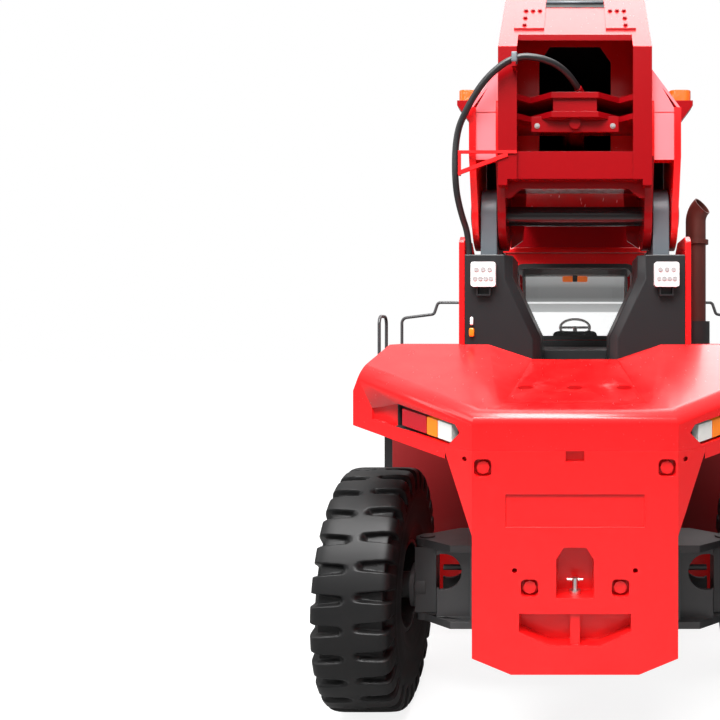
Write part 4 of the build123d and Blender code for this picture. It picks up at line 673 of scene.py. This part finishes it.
def blown_pad(name, middle, half, lean, cap):
    """A cushion: a rounded box is remeshed to a fine cloth, blown up by pressure, held to within a cap of
    where it began, and subdivided once."""
    piece = piece_of(name, [rounded(middle, half, power=0.3, lean=lean)], seat_cloth, "chassis")
    remesh = piece.modifiers.new("weave", "REMESH")
    remesh.mode = "VOXEL"
    remesh.voxel_size = weave_size
    start = bpy.data.meshes.new_from_object(piece.evaluated_get(bpy.context.evaluated_depsgraph_get()))
    piece.modifiers.clear()
    piece.data = start
    cloth = piece.modifiers.new("blow", "CLOTH")
    cloth.settings.use_pressure = True
    cloth.settings.uniform_pressure_force = blow_force
    cloth.settings.effector_weights.gravity = 0.0
    cloth.point_cache.frame_end = blow_frames
    for step in range(1, blow_frames + 1):
        scene.frame_set(step)
    blown = bpy.data.meshes.new_from_object(piece.evaluated_get(bpy.context.evaluated_depsgraph_get()))
    before, after = np.empty(3 * len(start.vertices)), np.empty(3 * len(start.vertices))
    start.vertices.foreach_get("co", before)
    blown.vertices.foreach_get("co", after)
    move = (after - before).reshape(-1, 3)
    reach = np.linalg.norm(move, axis=1, keepdims=True)
    move *= np.minimum(1, cap / np.maximum(reach, 1e-9))
    piece.modifiers.clear()
    start.vertices.foreach_set("co", (before.reshape(-1, 3) + move).ravel())
    start.update()
    start.materials.clear()
    start.materials.append(seat_cloth)
    start.shade_smooth()
    scene.frame_set(1)
    finer = piece.modifiers.new("finer", "SUBSURF")
    finer.levels = finer.render_levels = 1


blown_pad("seat_cushion", (0, -2.49, 2.24), (0.245, 0.245, 0.045), lean=0.0, cap=0.012)
blown_pad("seat_back", (0, -2.808, 2.48), (0.235, 0.045, 0.16), lean=-0.157, cap=0.012)
piece_of("seat_base", [rounded((0, -2.5, 2.015), (0.2, 0.2, 0.165), power=0.12),
                       rounded((0, -2.78, 2.275), (0.25, 0.06, 0.025), power=0.2)],
         trim_black, "chassis", ["driver_seat"])

# The doors are sheet on tube frames, hung on the cab's sides, each with its own pane and a black pull handle
# on two feet.
grip_x, grip_y, grip_z, foot_x, foot_apart = 0.692, -2.02, 2.14, 0.680, 0.06
for side, sign in (("left", -1), ("right", 1)):
    softened(f"door_{side}", red_gloss, width=0.004)
    softened(f"door_glass_{side}", cab_pane, width=0)
    grip = rounded((sign * grip_x, grip_y, grip_z), (0.016, 0.075, 0.014), power=0.5)
    feet = [rounded((sign * foot_x, grip_y + along, grip_z), (0.014, 0.012, 0.012), power=0.5)
            for along in (-foot_apart, foot_apart)]
    piece_of(f"door_handle_{side}", [grip, *feet], trim_black, f"door_{side}")

# The exhaust is rolled steel tube with a mitred elbow, clamped in a black guard and browned by heat.
guard_top = 2.705
burnt_pipe = enamel("burnt_pipe", (0.17, 0.040, 0.030), (0.055, 0.020, 0.016), rough=0.40, dust=0.03,
                    relief=0.08, metal=0.5)
softened("exhaust_stack", burnt_pipe, width=0.003, others=[
    (trim_black, lambda x, y, z, n: z < guard_top),
], flat=0.002)

# The boom is a welded box, red outside and near black inside, the black being painted shade, with a bulkhead
# at its rear, a belly plate below and a collar with bolted wear pads at its mouth. Its tail is a plate
# weldment with bolted plates, a vent, gussets and webs, and it straddles the tower on a steel shaft. The
# tail's faces that look back, down or inwards, its plate bolts, gussets, telescope mount and belly plate are
# a darker red, painted shade; the vent and the webs are near-black sheets of painted shade; the rear faces
# of the covers at its shoulders are pale pink, a painted reflection.
# Near black for the boom's insides, the tail's vent and its webs: painted shade.
boom_shade_black = enamel("boom_shade_black", (0.012, 0.014, 0.013), (0.008, 0.009, 0.009), rough=0.6)
# A darker copy of the boom's red: painted shade on the tail's faces that look back, down or inwards, and on
# the parts under and behind it.
tail_shade_red = enamel("tail_shade_red", (0.26, 0.002, 0.004), (0.21, 0.001, 0.003), rough=0.20, dust=0.04, relief=0.025,
                  shine=0.2)
# A pale pink copy of the red: a painted reflection on the rear faces of the covers at the tail's shoulders.
cover_reflection_pink = enamel("cover_reflection_pink", (0.90, 0.20, 0.22), (0.84, 0.13, 0.15), rough=0.20, coat=0.4, dust=0.04,
                   relief=0.025)
shaft_black = enamel("shaft_black", (0.020, 0.021, 0.023), (0.014, 0.015, 0.016), rough=0.22, coat=0.2,
                     dust=0.05)
base_half, base_low, base_high, base_rear = 0.47, 3.71, 4.84, -4.845
# The box's inside faces get the near black of painted shade.
softened("boom_base", red_gloss, width=0.008, others=[
    (boom_shade_black, lambda x, y, z, n: (np.abs(x) < base_half) & (z > base_low) & (z < base_high)
     & (y > base_rear)),
])
lug_out, facing_down, facing_in = 0.52, 0.3, 0.2
cover_in, cover_out, cover_low = 0.53, 0.66, 3.83
# Inside the lugs, faces that look back, down or inwards get the darker red of painted shade.
softened("boom_tail", red_gloss, width=0.005, others=[
    (tail_shade_red, lambda x, y, z, n: (np.abs(x) < lug_out)
     & ((n[:, 1] < -square) | (n[:, 2] < -facing_down) | (n[:, 0] * x < -facing_in))),
    (cover_reflection_pink, lambda x, y, z, n: (np.abs(x) > cover_in) & (np.abs(x) < cover_out) & (n[:, 1] < -square)
     & (z > cover_low)),
])
softened("pivot_shaft", shaft_black, width=0.004)
# The telescope mount carries the darker red of painted shade.
softened("telescope_mount", tail_shade_red, width=0.004)
collar_radius, plate_radius = 0.016, 0.013
collar_places = [(0.515, 2.855, z) for z in (3.85, 4.05, 4.25, 4.45, 4.65)]
bolts("collar_bolts_right", collar_places, (1, 0, 0), collar_radius, zinc_steel, "boom")
bolts("collar_bolts_left", [(-x, y, z) for x, y, z in collar_places], (-1, 0, 0), collar_radius, zinc_steel,
      "boom")
slope, slope_rear, slope_low = 0.98193, -5.42, 4.5303
plate_spots = [(0.252, 0.38), (0.302, 0.38), (0.352, 0.38), (0.352, 0.29), (0.352, 0.205)]
plate_lift = 0.02
bolts("tail_plate_bolts", [(sign * x, slope_rear + run, slope_low + slope * run + plate_lift)
                           for sign in (-1, 1) for x, run in plate_spots], (0, -slope, 1), plate_radius,
      tail_shade_red, "boom")
bolts("crosshead_bolts", [(x, -5.29, 4.03) for x in (-0.26, 0.26)], (0, -1, 0), plate_radius, zinc_steel,
      "boom")
vent_half, vent_lift = 0.212, 0.004
vent_x, vent_run = np.meshgrid([-vent_half, vent_half], [0.455, 0.565])
vent_points = np.stack([vent_x, slope_rear + vent_run, slope_low + slope * vent_run + vent_lift], -1)
piece_of("tail_vent", [(vent_points, False, False)], boom_shade_black, "boom")
rod_radius, rod_half, rod_run, rod_lift = 0.011, 0.21, 0.50, 0.014
rod_profile = [(0, 0), (rod_radius, 0), (rod_radius, 2 * rod_half), (0, 2 * rod_half)]
rod_end = (-rod_half, slope_rear + rod_run, slope_low + slope * rod_run + rod_lift)
piece_of("tail_vent_rod", [turned(rod_profile, rod_end, (1, 0, 0), sides=16)], slate, "boom")
gusset_flat = np.array([(0.36, 3.69), (0.479, 3.69), (0.479, 3.24), (0.39, 3.30)])


def plate_of(outline, near, far):
    """A flat plate: its outline in X and Z at two depths in Y, closed at each by a fan from its middle."""
    rings = [np.insert(outline, 1, depth, axis=1) for depth in (near, far)]
    return np.stack([0 * rings[0] + rings[0].mean(0), *rings, 0 * rings[1] + rings[1].mean(0)]), False, True


gusset_near, gusset_far = -4.80, -4.785
piece_of("tail_gussets", [plate_of(gusset_flat * (sign, 1), gusset_near, gusset_far) for sign in (-1, 1)],
         tail_shade_red, "boom", smooth=False)
web_x, web_y, web_z = 0.6025, -4.74, 3.83
piece_of("tail_webs",
         [rounded((side * web_x, web_y, web_z), (0.066, 0.008, 0.28), power=0.05) for side in (-1, 1)],
         boom_shade_black, "boom")
# The belly plate carries the darker red of painted shade.
piece_of("belly_plate", [rounded((0, -3.29, 3.565), (0.62, 0.010, 0.145), power=0.05)], tail_shade_red, "boom")

# The amber beacons are moulded lenses at the tail's shoulders. They stand on folded steel arms that are
# welded to the tail and sprayed with it, in its darker red of painted shade.
beacon_low = 4.226
beacon_lens = lens_of("beacon_lens", (0.86, 0.13, 0.006), rough=0.15, clear=0.2, glow=0.10, flutes=40.0)
softened("beacon_lamps", beacon_lens, width=0.004, others=[(tail_shade_red, lambda x, y, z, n: z < beacon_low)])

# The boom hose is a wire-braided rubber hose of 44 mm. It leaves the boom's rear opening, lies over the tail
# plate's clip, runs down outside the left lugs to a bracket, and ends in the tower's cover.
hose_black = enamel("hose_black", (0.010, 0.010, 0.011), (0.007, 0.007, 0.008), rough=0.42, relief=0.1)
tail_y, post_rear = -5.39, -5.25
hose_radius, bracket_x, bracket_z, socket_x = 0.022, -0.8053, 3.74, -0.738
upper_route = [(0.02, tail_y + 0.10, 4.29), (-0.04, tail_y + 0.01, 4.365), (-0.19, tail_y - 0.095, 4.425),
               (-0.40, tail_y - 0.11, 4.44), (-0.59, tail_y - 0.095, 4.30), (-0.72, tail_y - 0.06, 4.11),
               (bracket_x, tail_y - 0.02, 3.93), (bracket_x, tail_y - 0.02, bracket_z)]
loop_route = [(bracket_x, tail_y - 0.02, bracket_z), (bracket_x, tail_y - 0.02, 3.60),
              (-0.782, post_rear - 0.075, 3.435), (socket_x, post_rear + 0.025, 3.28),
              (socket_x, post_rear + 0.025, 3.15)]


def hose_piece(name, route):
    """A round tube along a NURBS curve that has the route's points as its control points, made a mesh."""
    curve = bpy.data.curves.new(name, "CURVE")
    curve.dimensions = "3D"
    curve.bevel_depth = hose_radius
    curve.bevel_resolution = 6
    curve.resolution_u = 16
    spline = curve.splines.new("NURBS")
    spline.points.add(len(route) - 1)
    spline.points.foreach_set("co", np.hstack([np.array(route), np.ones((len(route), 1))]).ravel())
    spline.order_u = 3
    spline.use_endpoint_u = True
    shape = bpy.data.objects.new(name, curve)
    mesh = bpy.data.meshes.new_from_object(shape)
    bpy.data.objects.remove(shape)
    mesh.materials.clear()
    mesh.materials.append(hose_black)
    mesh.shade_smooth()
    piece = bpy.data.objects.new(name, mesh)
    scene.collection.objects.link(piece)
    return piece


upper_hose = hose_piece("boom_hose", upper_route)
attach(upper_hose, "boom")
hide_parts("hose_upper")
lower_hose = hose_piece("tower_hose", loop_route)
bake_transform(lower_hose)
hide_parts("hose_loop")
piece_of("hose_clip", [rounded((-0.400, -5.495, 4.425), (0.020, 0.030, 0.036), power=0.3)], slate, "boom")

# The inner boom is a welded box that slides in the base on its chromed cylinder rod; its nose plates hold the
# hanger's pin.
inner_half, inner_low, inner_high, inner_front = 0.42, 3.77, 4.78, 4.8
# The inner boom's inside faces are near black: painted shade.
softened("boom_inner", red_gloss, width=0.006, others=[
    (boom_shade_black, lambda x, y, z, n: (np.abs(x) < inner_half) & (z > inner_low) & (z < inner_high)
     & (y < inner_front)),
])
chrome = enamel("chrome", (0.78, 0.79, 0.80), (0.72, 0.73, 0.74), rough=0.07, dust=0.02, relief=0.004,
                metal=1.0)
softened("telescope_rod", chrome, width=0.003)

# The lift cylinders have painted steel barrels, pinned to the chassis, and chromed rods, whose eyes push the
# boom up.
for side in ("left", "right"):
    softened(f"lift_barrel_{side}", graphite, width=0.004)
    softened(f"lift_rod_{side}", chrome, width=0.003)

# The hanger is two steel plates on a round flange; a ring of bolts holds the flange to the slewing ring of
# the turntable.
softened("hanger", graphite, width=0.006)
softened("turntable", graphite, width=0.006)
ring_count, ring_reach, ring_y, ring_z, ring_bolt = 24, 0.58, 5.2, 2.33, 0.020
ring_phase, foot_in, foot_out = 0.13, 0.31, 0.43
ring_turn = np.arange(ring_count) * (2 * np.pi / ring_count) + ring_phase
ring_spots = [(ring_reach * np.cos(turn), ring_y + ring_reach * np.sin(turn), ring_z) for turn in ring_turn]
bolts("slew_ring_bolts", [spot for spot in ring_spots if not foot_in < abs(spot[0]) < foot_out], (0, 0, 1),
      ring_bolt, zinc_steel, "hanger")

# The spreader is two welded box girders on cross beams; its end frames slide out of the girders and carry the
# twistlocks.
softened("spreader_frame", red_gloss, width=0.006)
for side in ("left", "right"):
    softened(f"end_frame_{side}", red_gloss, width=0.006)
